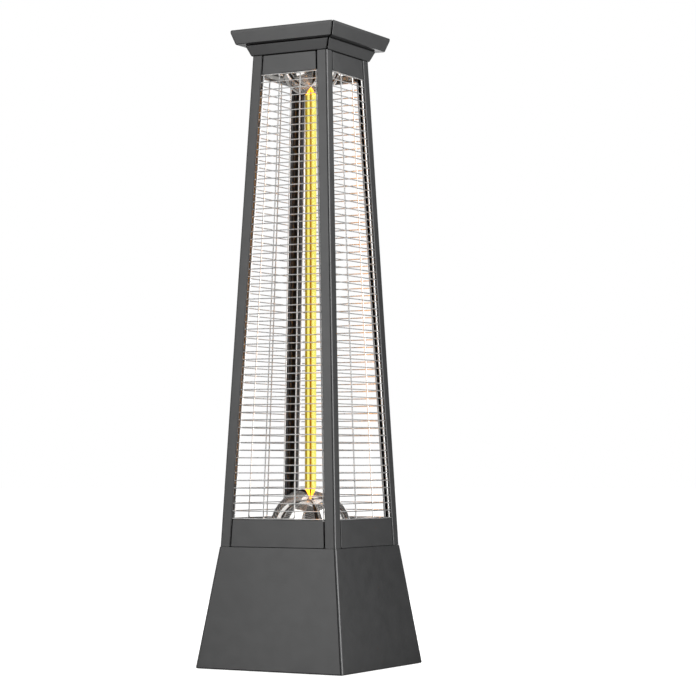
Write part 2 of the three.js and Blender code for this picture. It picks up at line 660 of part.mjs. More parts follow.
const [switchPlace, tipPlace, lowerPlace, upperPlace] = pocketPlaces;
lead('switch_lead', switchPlace, [
  [-34, 84, 62], [SWITCH_X, 98, 90], [SWITCH_X, 106, 97.6], [SWITCH_X, 113, 98.4],
], 14);
lead('tip_switch_lead', tipPlace, [
  [10, 50, 62], [40, -10, 68], [TIP_X, TIP_Y, 58], [TIP_X, TIP_Y, TIP_TOP + LEAD_GAP],
], 18);
lead('lamp_lead_lower', lowerPlace, [
  [22, 64, 120], [...LAMP_LEAD, 215], [...LAMP_LEAD, 239], [24, 27, 249], [4, 5, 251],
  [0, 0, 259], [0, 0, filamentBottom - LEAD_GAP],
], 24);

// The upper lead climbs inside the back right post.
const channel = (z) => [towerHalf(z) - 8, towerHalf(z) - 8, z];
lead('lamp_lead_upper', upperPlace, [
  [60, 80, 120], [LEAD_X, LEAD_X, 209], [LEAD_X, LEAD_X, 235], [101, 101, 252],
  channel(285), channel(340), channel(600), channel(1060), [68, 68, 1135], [48, 48, 1149], [26, 26, 1159],
  [7, 7, 1168], [0, 0, 1165], [0, 0, filamentTop + LEAD_GAP],
], 60);

export default heater;
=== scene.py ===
"""Looks of the electric patio heater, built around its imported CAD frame. Metres, +Z up, front facing -Y."""
import math
import bmesh
import bpy
from mathutils import Matrix, Vector


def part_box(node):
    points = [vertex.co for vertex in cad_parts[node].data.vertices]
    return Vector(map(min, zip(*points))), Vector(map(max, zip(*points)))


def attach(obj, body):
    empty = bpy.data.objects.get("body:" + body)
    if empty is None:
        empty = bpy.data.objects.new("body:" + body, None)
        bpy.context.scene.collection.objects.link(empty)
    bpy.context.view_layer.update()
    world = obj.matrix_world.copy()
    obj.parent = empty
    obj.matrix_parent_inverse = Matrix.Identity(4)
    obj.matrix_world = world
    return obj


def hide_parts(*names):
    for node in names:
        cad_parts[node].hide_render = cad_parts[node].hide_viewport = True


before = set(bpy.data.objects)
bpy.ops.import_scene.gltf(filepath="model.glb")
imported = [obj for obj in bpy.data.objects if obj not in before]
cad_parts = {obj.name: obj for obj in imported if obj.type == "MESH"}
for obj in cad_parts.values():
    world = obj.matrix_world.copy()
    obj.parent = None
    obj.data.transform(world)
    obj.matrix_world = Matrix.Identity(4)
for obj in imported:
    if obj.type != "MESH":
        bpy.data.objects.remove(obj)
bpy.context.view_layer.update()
scene = bpy.context.scene

# ---- driving sizes, the same as the CAD frame's ----
SHEET = 0.0012
GAP = 0.0003
PLINTH_BOTTOM = 0.0012
PLINTH_BOTTOM_HALF = 0.1578
PLINTH_TOP = 0.227
PLINTH_TOP_HALF = 0.1257
PLINTH_FLANGE = 0.018
TOWER_BOTTOM_HALF = 0.1244
TOWER_TOP = 1.1562
TOWER_TOP_HALF = 0.0814
POST_FLANGE = 0.022
POST_LIP = 0.008
WINDOW_BOTTOM = 0.2786
WINDOW_TOP = 1.1196
PANEL_FLANGE = 0.011
PANEL_SIDE_GAP = 0.0022
PANEL_INSET = 0.0006
PANEL_RETURN = 0.008
WIRE_COUNT = 60
HEIGHT = 1.2038
SIDES = ["front", "right", "back", "left"]
CORNERS = ["front_right", "back_right", "back_left", "front_left"]

TAPER = (TOWER_BOTTOM_HALF - TOWER_TOP_HALF) / (TOWER_TOP - PLINTH_TOP)
PLINTH_SLOPE = (PLINTH_BOTTOM_HALF - PLINTH_TOP_HALF) / (PLINTH_TOP - PLINTH_BOTTOM)


def tower_half(z):
    return TOWER_BOTTOM_HALF - (z - PLINTH_TOP) * TAPER


def plinth_half(z):
    return PLINTH_BOTTOM_HALF - (z - PLINTH_BOTTOM) * PLINTH_SLOPE


# ---- camera ----
CAMERA_AZIMUTH = math.radians(30.21)
CAMERA_DISTANCE = 4.3554
CAMERA_HEIGHT = 0.3834
CAMERA_YAW = math.radians(-0.936)
CAMERA_PITCH = math.radians(2.878)
CAMERA_LENS = 118.44
CAMERA_SENSOR = 36.0


def add_camera():
    camera = bpy.data.objects.new("camera", bpy.data.cameras.new("camera"))
    scene.collection.objects.link(camera)
    camera.data.lens = CAMERA_LENS
    camera.data.sensor_width = CAMERA_SENSOR
    turn = CAMERA_AZIMUTH + CAMERA_YAW
    level = Vector((-math.sin(turn), math.cos(turn), 0))
    forward = level * math.cos(CAMERA_PITCH) + Vector((0, 0, math.sin(CAMERA_PITCH)))
    camera.location = (CAMERA_DISTANCE * math.sin(CAMERA_AZIMUTH),
                       -CAMERA_DISTANCE * math.cos(CAMERA_AZIMUTH), CAMERA_HEIGHT)
    camera.rotation_euler = forward.to_track_quat("-Z", "Y").to_euler()
    scene.camera = camera


add_camera()

# ---- studio: soft boxes round the heater, a pale floor, white surroundings ----
SURROUND_LEVEL = 0.1
# Name, compass angle in degrees (0 in front, 90 to the right), distance, width, foot, height, brightness.
PANELS = [
    ("key_box_low", -18, 1.6, 1.2, 0, 0.6, 1.0),
    ("key_box_high", -17, 1.6, 1.2, 0.6, 1.7, 1.28),
    ("side_strip", 88, 1.6, 1.2, 0, 2.3, 3.2),
    ("side_fill_low", 122, 1.6, 1.0, 0, 1.2, 0.66),
    ("side_fill_high", 124, 1.6, 1.1, 1.2, 1.1, 1.25),
    ("back_box", 203, 2.2, 0.9, 0, 2.3, 1.0),
    ("rear_fill", 285, 2.0, 1.0, 0, 2.3, 0.7),
]
TOP_BOX_HEIGHT = 2.6
TOP_BOX_SIZE = 1.6
TOP_BOX_LEVEL = 1.0
FLOOR_RADIUS = 30
FLOOR_GLOW = 0.85
NEAR_FLOOR = (0.3, 1.2)
FLOOR_SHADE = 0.18
FAR_FLOOR_GLOW = 0.32
FAR_FLOOR = (2.5, 3.5)
LOW_BOX_ANGLE = math.radians(150)
LOW_BOX_DISTANCE = 1.7
LOW_BOX_SIZE = 1.1
LOW_BOX_LEVEL = 0.42
LOW_BOX_HEIGHT = 0.01


def link(tree, source, target):
    tree.links.new(source, target)


def math_node(tree, operation, a, b=0.0):
    node = tree.nodes.new("ShaderNodeMath")
    node.operation = operation
    for slot, value in zip(node.inputs, (a, b)):
        if isinstance(value, (int, float)):
            slot.default_value = value
        else:
            link(tree, value, slot)
    return node.outputs[0]


def by_camera(tree, seen, otherwise):
    """The first shader for what the eye sees directly, the second for all light and reflections."""
    path = tree.nodes.new("ShaderNodeLightPath")
    mix = tree.nodes.new("ShaderNodeMixShader")
    link(tree, path.outputs["Is Camera Ray"], mix.inputs[0])
    link(tree, otherwise, mix.inputs[1])
    link(tree, seen, mix.inputs[2])
    return mix.outputs[0]


def add_world():
    world = bpy.data.worlds.new("studio")
    scene.world = world
    world.use_nodes = True
    tree = world.node_tree
    tree.nodes.clear()
    shades = []
    for level in (1.0, SURROUND_LEVEL):
        shade = tree.nodes.new("ShaderNodeBackground")
        shade.inputs["Color"].default_value = (level, level, level, 1)
        shades.append(shade.outputs[0])
    output = tree.nodes.new("ShaderNodeOutputWorld")
    link(tree, by_camera(tree, *shades), output.inputs[0])


def add_box(name, centre, target, width, height, level):
    light = bpy.data.lights.new(name, "AREA")
    light.shape = "RECTANGLE"
    light.size, light.size_y = width, height
    light.energy = 4 * width * height * level
    box = bpy.data.objects.new(name, light)
    box.location = centre
    box.rotation_euler = (Vector(target) - Vector(centre)).to_track_quat("-Z", "Y").to_euler()
    box.visible_camera = False
    scene.collection.objects.link(box)


def add_lights():
    for name, degrees, distance, width, foot, height, level in PANELS:
        angle = math.radians(degrees)
        x, y = distance * math.sin(angle), -distance * math.cos(angle)
        middle = foot + height / 2
        add_box(name, (x, y, middle), (0, 0, middle), width, height, level)
    add_box("top_box", (0, 0, TOP_BOX_HEIGHT), (0, 0, 0), TOP_BOX_SIZE, TOP_BOX_SIZE, TOP_BOX_LEVEL)
    low = Vector((math.sin(LOW_BOX_ANGLE), -math.cos(LOW_BOX_ANGLE), 0)) * LOW_BOX_DISTANCE
    low.z = LOW_BOX_HEIGHT
    add_box("low_box", low, (low.x, low.y, 1), LOW_BOX_SIZE, LOW_BOX_SIZE, LOW_BOX_LEVEL)


def add_floor():
    disc = bmesh.new()
    bmesh.ops.create_circle(disc, cap_ends=True, segments=96, radius=FLOOR_RADIUS)
    mesh = bpy.data.meshes.new("floor")
    disc.to_mesh(mesh)
    disc.free()
    floor = bpy.data.objects.new("floor", mesh)
    scene.collection.objects.link(floor)
    pale = bpy.data.materials.new("pale_floor")
    pale.use_nodes = True
    tree = pale.node_tree
    shader = tree.nodes["Principled BSDF"]
    shader.inputs["Base Color"].default_value = (0.9, 0.9, 0.9, 1)
    shader.inputs["Roughness"].default_value = 0.9
    shader.inputs["Emission Color"].default_value = (1, 1, 1, 1)
    away = from_axis(tree)
    link(tree, spread(tree, away, FLOOR_GLOW, 1.0, *NEAR_FLOOR), shader.inputs["Emission Strength"])
    dim = tree.nodes.new("ShaderNodeBsdfDiffuse")
    dim.inputs["Color"].default_value = (FLOOR_SHADE, FLOOR_SHADE, FLOOR_SHADE, 1)
    far = tree.nodes.new("ShaderNodeEmission")
    link(tree, spread(tree, away, 0.0, FAR_FLOOR_GLOW, *FAR_FLOOR), far.inputs["Strength"])
    lit = tree.nodes.new("ShaderNodeAddShader")
    link(tree, dim.outputs[0], lit.inputs[0])
    link(tree, far.outputs[0], lit.inputs[1])
    output = tree.nodes["Material Output"]
    link(tree, by_camera(tree, shader.outputs[0], lit.outputs[0]), output.inputs[0])
    mesh.materials.append(pale)


# ---- materials ----
def principled(name, base, roughness, metallic=0.0):
    look = bpy.data.materials.new(name)
    look.use_nodes = True
    shader = look.node_tree.nodes["Principled BSDF"]
    shader.inputs["Base Color"].default_value = (*base, 1)
    shader.inputs["Roughness"].default_value = roughness
    shader.inputs["Metallic"].default_value = metallic
    return look, look.node_tree, shader


def object_place(tree, stretch=(1, 1, 1)):
    place = tree.nodes.new("ShaderNodeTexCoord").outputs["Object"]
    mapping = tree.nodes.new("ShaderNodeMapping")
    mapping.inputs["Scale"].default_value = stretch
    link(tree, place, mapping.inputs["Vector"])
    return mapping.outputs[0]


def from_axis(tree):
    """Distance from the upright axis through the origin."""
    length = tree.nodes.new("ShaderNodeVectorMath")
    length.operation = "LENGTH"
    link(tree, object_place(tree, (1, 1, 0)), length.inputs[0])
    return length.outputs["Value"]


def noise(tree, scale, detail=2.0, stretch=(1, 1, 1)):
    node = tree.nodes.new("ShaderNodeTexNoise")
    node.inputs["Scale"].default_value = scale
    node.inputs["Detail"].default_value = detail
    link(tree, object_place(tree, stretch), node.inputs["Vector"])
    return node.outputs[0]


def cells(tree, scale):
    node = tree.nodes.new("ShaderNodeTexVoronoi")
    node.inputs["Scale"].default_value = scale
    link(tree, object_place(tree), node.inputs["Vector"])
    return node


def spread(tree, value, low, high, start=0.3, end=0.7):
    node = tree.nodes.new("ShaderNodeMapRange")
    for name, number in (("From Min", start), ("From Max", end), ("To Min", low), ("To Max", high)):
        node.inputs[name].default_value = number
    link(tree, value, node.inputs["Value"])
    return node.outputs[0]


def vary_roughness(tree, shader, low, high, *grain):
    """Roughness from low to high, by noise with the given scale, detail and stretch."""
    link(tree, spread(tree, noise(tree, *grain), low, high), shader.inputs["Roughness"])


def between(tree, factor, first, second):
    node = tree.nodes.new("ShaderNodeMix")
    node.data_type = "RGBA"
    if isinstance(factor, float):
        node.inputs["Factor"].default_value = factor
    else:
        link(tree, factor, node.inputs["Factor"])
    for slot, colour in (("A", first), ("B", second)):
        if isinstance(colour, tuple):
            node.inputs[slot].default_value = (*colour, 1)
        else:
            link(tree, colour, node.inputs[slot])
    return node.outputs["Result"]


def raise_bump(tree, shader, height, distance, strength=1.0, under=None):
    node = tree.nodes.new("ShaderNodeBump")
    node.inputs["Distance"].default_value = distance
    node.inputs["Strength"].default_value = strength
    link(tree, height, node.inputs["Height"])
    if under is not None:
        link(tree, under, node.inputs["Normal"])
    link(tree, node.outputs[0], shader.inputs["Normal"])
    return node.outputs[0]


add_world()
add_lights()
add_floor()
scene.view_settings.view_transform = "Standard"

SPECKLE_SHARE = 0.4


def powder_coat():
    """Satin anthracite powder coat: fine orange peel, faint clouding and a slightly uneven shine."""
    look, tree, shader = principled("satin_powder", (0.016, 0.0165, 0.017), 0.3)
    shader.inputs["Specular IOR Level"].default_value = 1.0
    clouds = spread(tree, noise(tree, 9, 3), 0.0, 1.0)
    grain = spread(tree, noise(tree, 2600, 1), 0.0, 1.0)
    cloudy = between(tree, clouds, (0.014, 0.0145, 0.015), (0.018, 0.0185, 0.019))
    speckled = between(tree, grain, (0.011, 0.0115, 0.012), (0.022, 0.0225, 0.023))
    link(tree, between(tree, SPECKLE_SHARE, cloudy, speckled), shader.inputs["Base Color"])
    vary_roughness(tree, shader, 0.28, 0.34, 40, 4)
    peel = raise_bump(tree, shader, noise(tree, 700, 2), 0.00006, 0.35)
    raise_bump(tree, shader, grain, 0.00002, 0.3, peel)
    return look


def chrome_wire():
    """Bright chromed round wire with faint drawing lines and dull spots."""
    look, tree, shader = principled("chromed_wire", (0.86, 0.86, 0.85), 0.3, 1.0)
    vary_roughness(tree, shader, 0.24, 0.42, 300, 3)
    tint = between(tree, noise(tree, 30, 2), (0.9, 0.9, 0.89), (0.76, 0.75, 0.74))
    link(tree, tint, shader.inputs["Base Color"])
    raise_bump(tree, shader, noise(tree, 1500, 2), 0.00003, 0.3)
    return look


def ring_bump(tree, shader, per_metre, distance, strength):
    """Concentric lathe marks about the Z axis."""
    rings = tree.nodes.new("ShaderNodeTexNoise")
    rings.noise_dimensions = "1D"
    rings.inputs["Scale"].default_value = per_metre
    rings.inputs["Detail"].default_value = 3
    link(tree, from_axis(tree), rings.inputs["W"])
    raise_bump(tree, shader, rings.outputs[0], distance, strength)
    return rings.outputs[0]


def spun_mirror():
    """Polished spun aluminium with fine concentric marks and a little haze."""
    look, tree, shader = principled("spun_mirror", (0.9, 0.89, 0.87), 0.06, 1.0)
    rings = ring_bump(tree, shader, 700, 0.00002, 0.25)
    link(tree, spread(tree, rings, 0.04, 0.11), shader.inputs["Roughness"])
    haze = between(tree, noise(tree, 25, 3), (0.92, 0.91, 0.89), (0.84, 0.82, 0.79))
    link(tree, haze, shader.inputs["Base Color"])
    return look


def zinc_plate():
    """Zinc-plated steel with a soft spangle and rolling marks."""
    look, tree, shader = principled("zinc_plating", (0.6, 0.61, 0.63), 0.38, 1.0)
    spangle = cells(tree, 160)
    shade = between(tree, spangle.outputs["Distance"], (0.66, 0.67, 0.69), (0.5, 0.51, 0.53))
    link(tree, shade, shader.inputs["Base Color"])
    rolled = noise(tree, 60, 4, (1, 12, 1))
    link(tree, spread(tree, rolled, 0.3, 0.48), shader.inputs["Roughness"])
    raise_bump(tree, shader, rolled, 0.00003, 0.3)
    return look


def moulded(name, dark, light, roughness, grain=1800):
    """Moulded plastic or rubber with a fine spark-eroded grain."""
    look, tree, shader = principled(name, dark, roughness)
    link(tree, between(tree, noise(tree, 60, 3), dark, light), shader.inputs["Base Color"])
    vary_roughness(tree, shader, roughness - 0.06, roughness + 0.08, 25, 3)
    raise_bump(tree, shader, noise(tree, grain, 2), 0.00006, 0.4)
    return look


def ceramic():
    """Unglazed steatite: warm white, faintly speckled, with a pitted skin."""
    look, tree, shader = principled("steatite", (0.78, 0.74, 0.66), 0.62)
    specks = spread(tree, noise(tree, 900, 2), 0.0, 1.0, 0.6, 0.75)
    link(tree, between(tree, specks, (0.8, 0.76, 0.68), (0.62, 0.56, 0.47)), shader.inputs["Base Color"])
    vary_roughness(tree, shader, 0.55, 0.75, 50, 3)
    raise_bump(tree, shader, noise(tree, 1300, 3), 0.0001, 0.4)
    return look


def sleeve():
    """Braided glass-fibre sleeving, rust red."""
    look, tree, shader = principled("braided_sleeve", (0.42, 0.1, 0.05), 0.85)
    strands = []
    for lean in (1, -1):
        wave = tree.nodes.new("ShaderNodeTexWave")
        wave.inputs["Scale"].default_value = 320
        wave.bands_direction = "DIAGONAL"
        link(tree, object_place(tree, (lean, 1, 1)), wave.inputs["Vector"])
        strands.append(wave.outputs["Fac"])
    braid_and_groove_shade = math_node(tree, "MAXIMUM", *strands)
    # Colour runs darker in the grooves between the strands: painted shade, following the same weave pattern
    # that raises the bump.
    link(tree, between(tree, braid_and_groove_shade, (0.2, 0.045, 0.025), (0.5, 0.13, 0.07)), shader.inputs["Base Color"])
    vary_roughness(tree, shader, 0.75, 0.95, 200, 2)
    raise_bump(tree, shader, braid_and_groove_shade, 0.0002, 0.6)
    return look


HEAD_ON_SHINE = 0.035
EDGE_SHINE = 0.4
OUTER_SKIN = 0.0104


def clear_quartz():
    """Thin clear quartz wall: seen straight through, its outer skin shining toward the edges."""
    look = bpy.data.materials.new("clear_quartz")
    look.use_nodes = True
    tree = look.node_tree
    tree.nodes.clear()
    clear = tree.nodes.new("ShaderNodeBsdfTransparent")
    clear.inputs["Color"].default_value = (1.0, 0.985, 0.95, 1)
    shine = tree.nodes.new("ShaderNodeBsdfGlossy")
    link(tree, spread(tree, noise(tree, 60, 2), 0.02, 0.08), shine.inputs["Roughness"])
    facing = tree.nodes.new("ShaderNodeLayerWeight").outputs["Facing"]
    rise = math_node(tree, "MULTIPLY", math_node(tree, "POWER", facing, 5.0), EDGE_SHINE)
    outer = math_node(tree, "GREATER_THAN", from_axis(tree), OUTER_SKIN)
    mirrored = math_node(tree, "MULTIPLY", math_node(tree, "ADD", rise, HEAD_ON_SHINE), outer)
    ripple = tree.nodes.new("ShaderNodeBump")
    ripple.inputs["Distance"].default_value = 0.00002
    link(tree, noise(tree, 120, 2, (1, 1, 0.2)), ripple.inputs["Height"])
    link(tree, ripple.outputs[0], shine.inputs["Normal"])
    mix = tree.nodes.new("ShaderNodeMixShader")
    link(tree, mirrored, mix.inputs[0])
    link(tree, clear.outputs[0], mix.inputs[1])
    link(tree, shine.outputs[0], mix.inputs[2])
    output = tree.nodes.new("ShaderNodeOutputMaterial")
    link(tree, mix.outputs[0], output.inputs[0])
    return look


GLOW_SEEN = (1.02, 1.0, 0.25)
# Painted light: a darker amber for the strip down one side of the glow the eye sees, standing for the amber
# edge glow of the hot tube.
PAINTED_AMBER_EDGE = (0.36, 0.26, 0.016)
GLOW_CAST = (5.0, 2.0, 0.12)
# Angle round the tube and half width of the painted amber edge strip.
PAINTED_EDGE_CENTRE = math.radians(-86)
PAINTED_EDGE_HALF = math.radians(27)


def glow_shade(tree, colour, painted_edge_mask, streaks, painted_edge_colour=None):
    # An optional second colour is painted light: the amber edge strip, laid over the glow where its mask is
    # high.
    glow = tree.nodes.new("ShaderNodeEmission")
    hot = between(tree, streaks, colour, tuple(0.9 * level for level in colour))
    if painted_edge_colour is None:
        link(tree, hot, glow.inputs["Color"])
    else:
        link(tree, between(tree, painted_edge_mask, hot, painted_edge_colour), glow.inputs["Color"])
    return glow.outputs[0]


def heated_quartz():
    """Inside wall of the lamp's tube: it glows toward the axis, and from outside it is clear.
    One darker amber strip runs down the glow the eye sees: painted light, the amber glow at the edge of the
    hot tube, set at a fixed angle round it."""
    look = bpy.data.materials.new("quartz_glow")
    look.use_nodes = True
    tree = look.node_tree
    tree.nodes.clear()
    # Angle round the tube, and from it the mask of the painted amber edge strip.
    split = tree.nodes.new("ShaderNodeSeparateXYZ")
    link(tree, object_place(tree), split.inputs[0])
    toward = math_node(tree, "MULTIPLY", split.outputs["Y"], -1.0)
    angle = math_node(tree, "ARCTAN2", split.outputs["X"], toward)
    away = math_node(tree, "ABSOLUTE", math_node(tree, "SUBTRACT", angle, PAINTED_EDGE_CENTRE))
    painted_edge_mask = spread(tree, away, 1.0, 0.0, PAINTED_EDGE_HALF * 0.9, PAINTED_EDGE_HALF)
    streaks = spread(tree, noise(tree, 30, 3, (1, 1, 0.15)), 0.0, 1.0)
    glow = by_camera(tree, glow_shade(tree, GLOW_SEEN, painted_edge_mask, streaks, PAINTED_AMBER_EDGE),
                     glow_shade(tree, GLOW_CAST, painted_edge_mask, streaks))
    clear = tree.nodes.new("ShaderNodeBsdfTransparent")
    clear.inputs["Color"].default_value = (1.0, 0.97, 0.88, 1)
    side = tree.nodes.new("ShaderNodeNewGeometry")
    mix = tree.nodes.new("ShaderNodeMixShader")
    link(tree, side.outputs["Backfacing"], mix.inputs[0])
    link(tree, glow, mix.inputs[1])
    link(tree, clear.outputs[0], mix.inputs[2])
    output = tree.nodes.new("ShaderNodeOutputMaterial")
    link(tree, mix.outputs[0], output.inputs[0])
    return look


def hot_coil():
    """Heating coil: a dull amber beside the glare of the tube."""
    look, tree, shader = principled("hot_coil", (0.01, 0.006, 0.004), 0.9)
    shader.inputs["Specular IOR Level"].default_value = 0.0
    streaks = spread(tree, noise(tree, 90, 3), 0.0, 1.0)
    link(tree, between(tree, streaks, (0.5, 0.2, 0.008), (0.3, 0.12, 0.004)),
         shader.inputs["Emission Color"])
    shader.inputs["Emission Strength"].default_value = 1.0
    vary_roughness(tree, shader, 0.4, 0.6, 400, 2)
    return look


POWDER = powder_coat()
CHROME = chrome_wire()
MIRROR = spun_mirror()
ZINC = zinc_plate()
RUBBER = moulded("moulded_rubber", (0.016, 0.016, 0.017), (0.03, 0.03, 0.031), 0.82, 1200)
BLACK = moulded("moulded_black", (0.012, 0.012, 0.013), (0.02, 0.02, 0.021), 0.45)
WHITE = moulded("moulded_white", (0.68, 0.67, 0.62), (0.75, 0.74, 0.7), 0.5)
CERAMIC = ceramic()
SLEEVE = sleeve()
QUARTZ = clear_quartz()
GLOW = heated_quartz()
COIL = hot_coil()


# ---- outlines ----
def filleted(points, radii, steps=5):
    """An open line of 2-D points with each inner corner rounded to its radius."""
    if isinstance(radii, float):
        radii = [radii] * (len(points) - 2)
    line = [Vector(points[0])]
    for before, corner, after, radius in zip(points, points[1:], points[2:], radii):
        corner = Vector(corner)
        a = (Vector(before) - corner).normalized()
        b = (Vector(after) - corner).normalized()
        half = a.angle(b) / 2
        centre = corner + (a + b).normalized() * (radius / math.sin(half))
        start = corner + a * (radius / math.tan(half)) - centre
        end = corner + b * (radius / math.tan(half)) - centre
        sweep = math.atan2(start.cross(end), start.dot(end))
        line += [centre + Matrix.Rotation(sweep * i / steps, 2) @ start for i in range(steps + 1)]
    line.append(Vector(points[-1]))
    return line


def sheet_outline(line, thickness, edge_steps=3):
    """Closed outline of a sheet that follows the line, with its two cut edges rounded."""
    def normal(a, b):
        along = (b - a).normalized()
        return Vector((-along.y, along.x))

    def side(sign):
        points = []
        for i, point in enumerate(line):
            first = normal(line[max(i - 1, 0)], line[max(i, 1)])
            last = normal(line[min(i, len(line) - 2)], line[min(i + 1, len(line) - 1)])
            mitre = (first + last).normalized()
            points.append(point + mitre * (sign * thickness / 2 / mitre.dot(first)))
        return points

    def edge(centre, start):
        arm = start - centre
        turns = [Matrix.Rotation(math.pi * i / edge_steps, 2) for i in range(1, edge_steps)]
        return [centre + turn @ arm for turn in turns]

    right, left = side(-1), side(1)
    return [*right, *edge(line[-1], right[-1]), *reversed(left), *edge(line[0], left[0])]


# ---- meshes ----
SAME_POINT = 1e-7
CREASE = math.radians(34)


class Shape:
    """Vertices and faces of one piece, put together from lofts, tubes and turned bodies."""

    def __init__(self):
        self.points = []
        self.faces = []

    def loft(self, rows, wrap=False, caps=True):
        """Skin over rows of closed outlines, all with the same number of points."""
        start, count = len(self.points), len(rows[0])
        self.points += [Vector(point) for row in rows for point in row]
        for r in range(len(rows) if wrap else len(rows) - 1):
            low, high = start + r * count, start + (r + 1) % len(rows) * count
            self.faces += [(low + i, low + (i + 1) % count, high + (i + 1) % count, high + i)
                           for i in range(count)]
        if caps and not wrap:
            self.faces.append(tuple(start + i for i in reversed(range(count))))
            self.faces.append(tuple(start + (len(rows) - 1) * count + i for i in range(count)))
        return self

    def turned(self, outline, sides=48, place=None):
        """Body of revolution about Z from a closed outline of (radius, z)."""
        place = place or Matrix.Identity(4)
        index = []
        for radius, z in outline:
            if radius < SAME_POINT:
                index.append([len(self.points)] * sides)
                self.points.append(place @ Vector((0, 0, z)))
                continue
            index.append(list(range(len(self.points), len(self.points) + sides)))
            self.points += [place @ point for point in ring_at(radius, z, sides)]
        for a, b in zip(index, index[1:] + index[:1]):
            for i in range(sides):
                j = (i + 1) % sides
                face = list(dict.fromkeys((a[i], a[j], b[j], b[i])))
                if len(face) > 2:
                    self.faces.append(tuple(face))
        return self

    def tube(self, path, radius, sides=8, closed=False):
        """Round wire along a path of points, its frame carried along without twisting."""
        path = [Vector(point) for point in path]
        count = len(path)

        def along(i):
            if closed:
                return (path[(i + 1) % count] - path[i - 1]).normalized()
            return (path[min(i + 1, count - 1)] - path[max(i - 1, 0)]).normalized()

        across = along(0).orthogonal().normalized()
        rows = []
        for i, point in enumerate(path):
            tangent = along(i)
            across = (across - tangent * across.dot(tangent)).normalized()
            other = tangent.cross(across)
            angles = [2 * math.pi * k / sides for k in range(sides)]
            rows.append([point + (across * math.cos(a) + other * math.sin(a)) * radius for a in angles])
        return self.loft(rows, wrap=closed)

    def rounded_box(self, low, high, radius=0.0008, steps=2, place=None):
        solid = bmesh.new()
        bmesh.ops.create_cube(solid, size=1)
        size = Vector(high) - Vector(low)
        bmesh.ops.scale(solid, vec=size, verts=solid.verts)
        bmesh.ops.translate(solid, vec=(Vector(high) + Vector(low)) / 2, verts=solid.verts)
        bmesh.ops.bevel(solid, geom=solid.edges[:], offset=radius, segments=steps, profile=0.5,
                        affect="EDGES")
        return self.add(solid, place)

    def add(self, solid, place=None):
        start = len(self.points)
        solid.verts.ensure_lookup_table()
        self.points += [(place @ v.co) if place else v.co.copy() for v in solid.verts]
        self.faces += [tuple(start + v.index for v in face.verts) for face in solid.faces]
        solid.free()
        return self

    def moved(self, matrix):
        other = Shape()
        other.points = [matrix @ point for point in self.points]
        other.faces = self.faces
        return other

    def piece(self, name, look, *nodes, body="heater"):
        """Makes the object, shades it, lets it ride on its body and stand for its CAD nodes."""
        mesh = bpy.data.meshes.new(name)
        mesh.from_pydata([point[:] for point in self.points], [], self.faces)
        work = bmesh.new()
        work.from_mesh(mesh)
        bmesh.ops.remove_doubles(work, verts=work.verts, dist=SAME_POINT)
        bmesh.ops.recalc_face_normals(work, faces=work.faces)
        work.to_mesh(mesh)
        work.free()
        mesh.polygons.foreach_set("use_smooth", [True] * len(mesh.polygons))
        mesh.set_sharp_from_angle(angle=CREASE)
        mesh.materials.append(look)
        made = bpy.data.objects.new(name, mesh)
        scene.collection.objects.link(made)
        keep_flat_faces(made)
        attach(made, body)
        if nodes:
            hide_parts(*nodes)
        return made


def keep_flat_faces(piece):
    weighted = piece.modifiers.new("flat_faces", "WEIGHTED_NORMAL")
    weighted.keep_sharp = True


def punch(piece, tools):
    """Cuts the tools' shapes out of a piece's mesh."""
    piece.modifiers.clear()
    cutters = []
    for tool in tools:
        mesh = bpy.data.meshes.new("cutter")
        mesh.from_pydata([point[:] for point in tool.points], [], tool.faces)
        cutters.append(bpy.data.objects.new("cutter", mesh))
        scene.collection.objects.link(cutters[-1])
        hole = piece.modifiers.new("hole", "BOOLEAN")
        hole.operation = "DIFFERENCE"
        hole.solver = "EXACT"
        hole.object = cutters[-1]
    ready = piece.evaluated_get(bpy.context.evaluated_depsgraph_get())
    piece.data = bpy.data.meshes.new_from_object(ready)
    piece.modifiers.clear()
    for cutter in cutters:
        bpy.data.objects.remove(cutter)
    keep_flat_faces(piece)


def ring_at(radius, z, count):
    """Points round a circle about Z."""
    turns = [2 * math.pi * i / count for i in range(count)]
    return [Vector((radius * math.cos(a), radius * math.sin(a), z)) for a in turns]


def pillar(radius, low, high):
    """Outline of an upright cylinder, for turning."""
    return [(0, low), (radius, low), (radius, high), (0, high)]


def quarter_turn(side):
    return Matrix.Rotation(side * math.pi / 2, 4, "Z")


# ---- sheet bodies on a square plan: plinth panels and cap tiers ----
SWITCH_X = -0.052
SWITCH_Z = 0.103
GLAND_X = 0.052
SWITCH_BODY_X = 0.009
SWITCH_BODY_Y = 0.014
GLAND_THREAD = 0.0078
HOLE_DEPTH = 0.005
MIN_BEND = 0.0002


def back_face(x, z):
    """Frame on the back of the plinth: X to the viewer's right, Y up the slope, Z out of it."""
    lean = math.atan(PLINTH_SLOPE)
    sine, cosine = math.sin(lean), math.cos(lean)
    return Matrix(((-1, 0, 0, x), (0, -sine, cosine, plinth_half(z)), (0, cosine, sine, z), (0, 0, 0, 1)))


def corner_arc(half, reference, radius, steps, sweep=math.pi / 4, short=0.0):
    """Outline of a square ring where its front face turns the right corner, at one height, for the surface
    of the sheet that lies at the given half-width. The bend keeps its centre through the sheet, and it may
    stop short of the corner."""
    centre = reference - radius
    r = half - centre
    if r < MIN_BEND:
        r = MIN_BEND
        centre = half - r
    angles = [sweep * i / steps for i in range(steps + 1)]
    return [(centre - short + r * math.sin(angle), -centre - r * math.cos(angle)) for angle in angles]


def across(right, z):
    """Points from the left mitre of the front face to its right one."""
    left = [(-x, y) for x, y in reversed(right)]
    return [Vector((x, y, z)) for x, y in [*left, *right]]


CORNER_RADIUS = 0.0055
CORNER_STEPS = 7
PLINTH_SEAM = 0.0005
PLINTH_FOLDS = [0.0016, 0.0002]


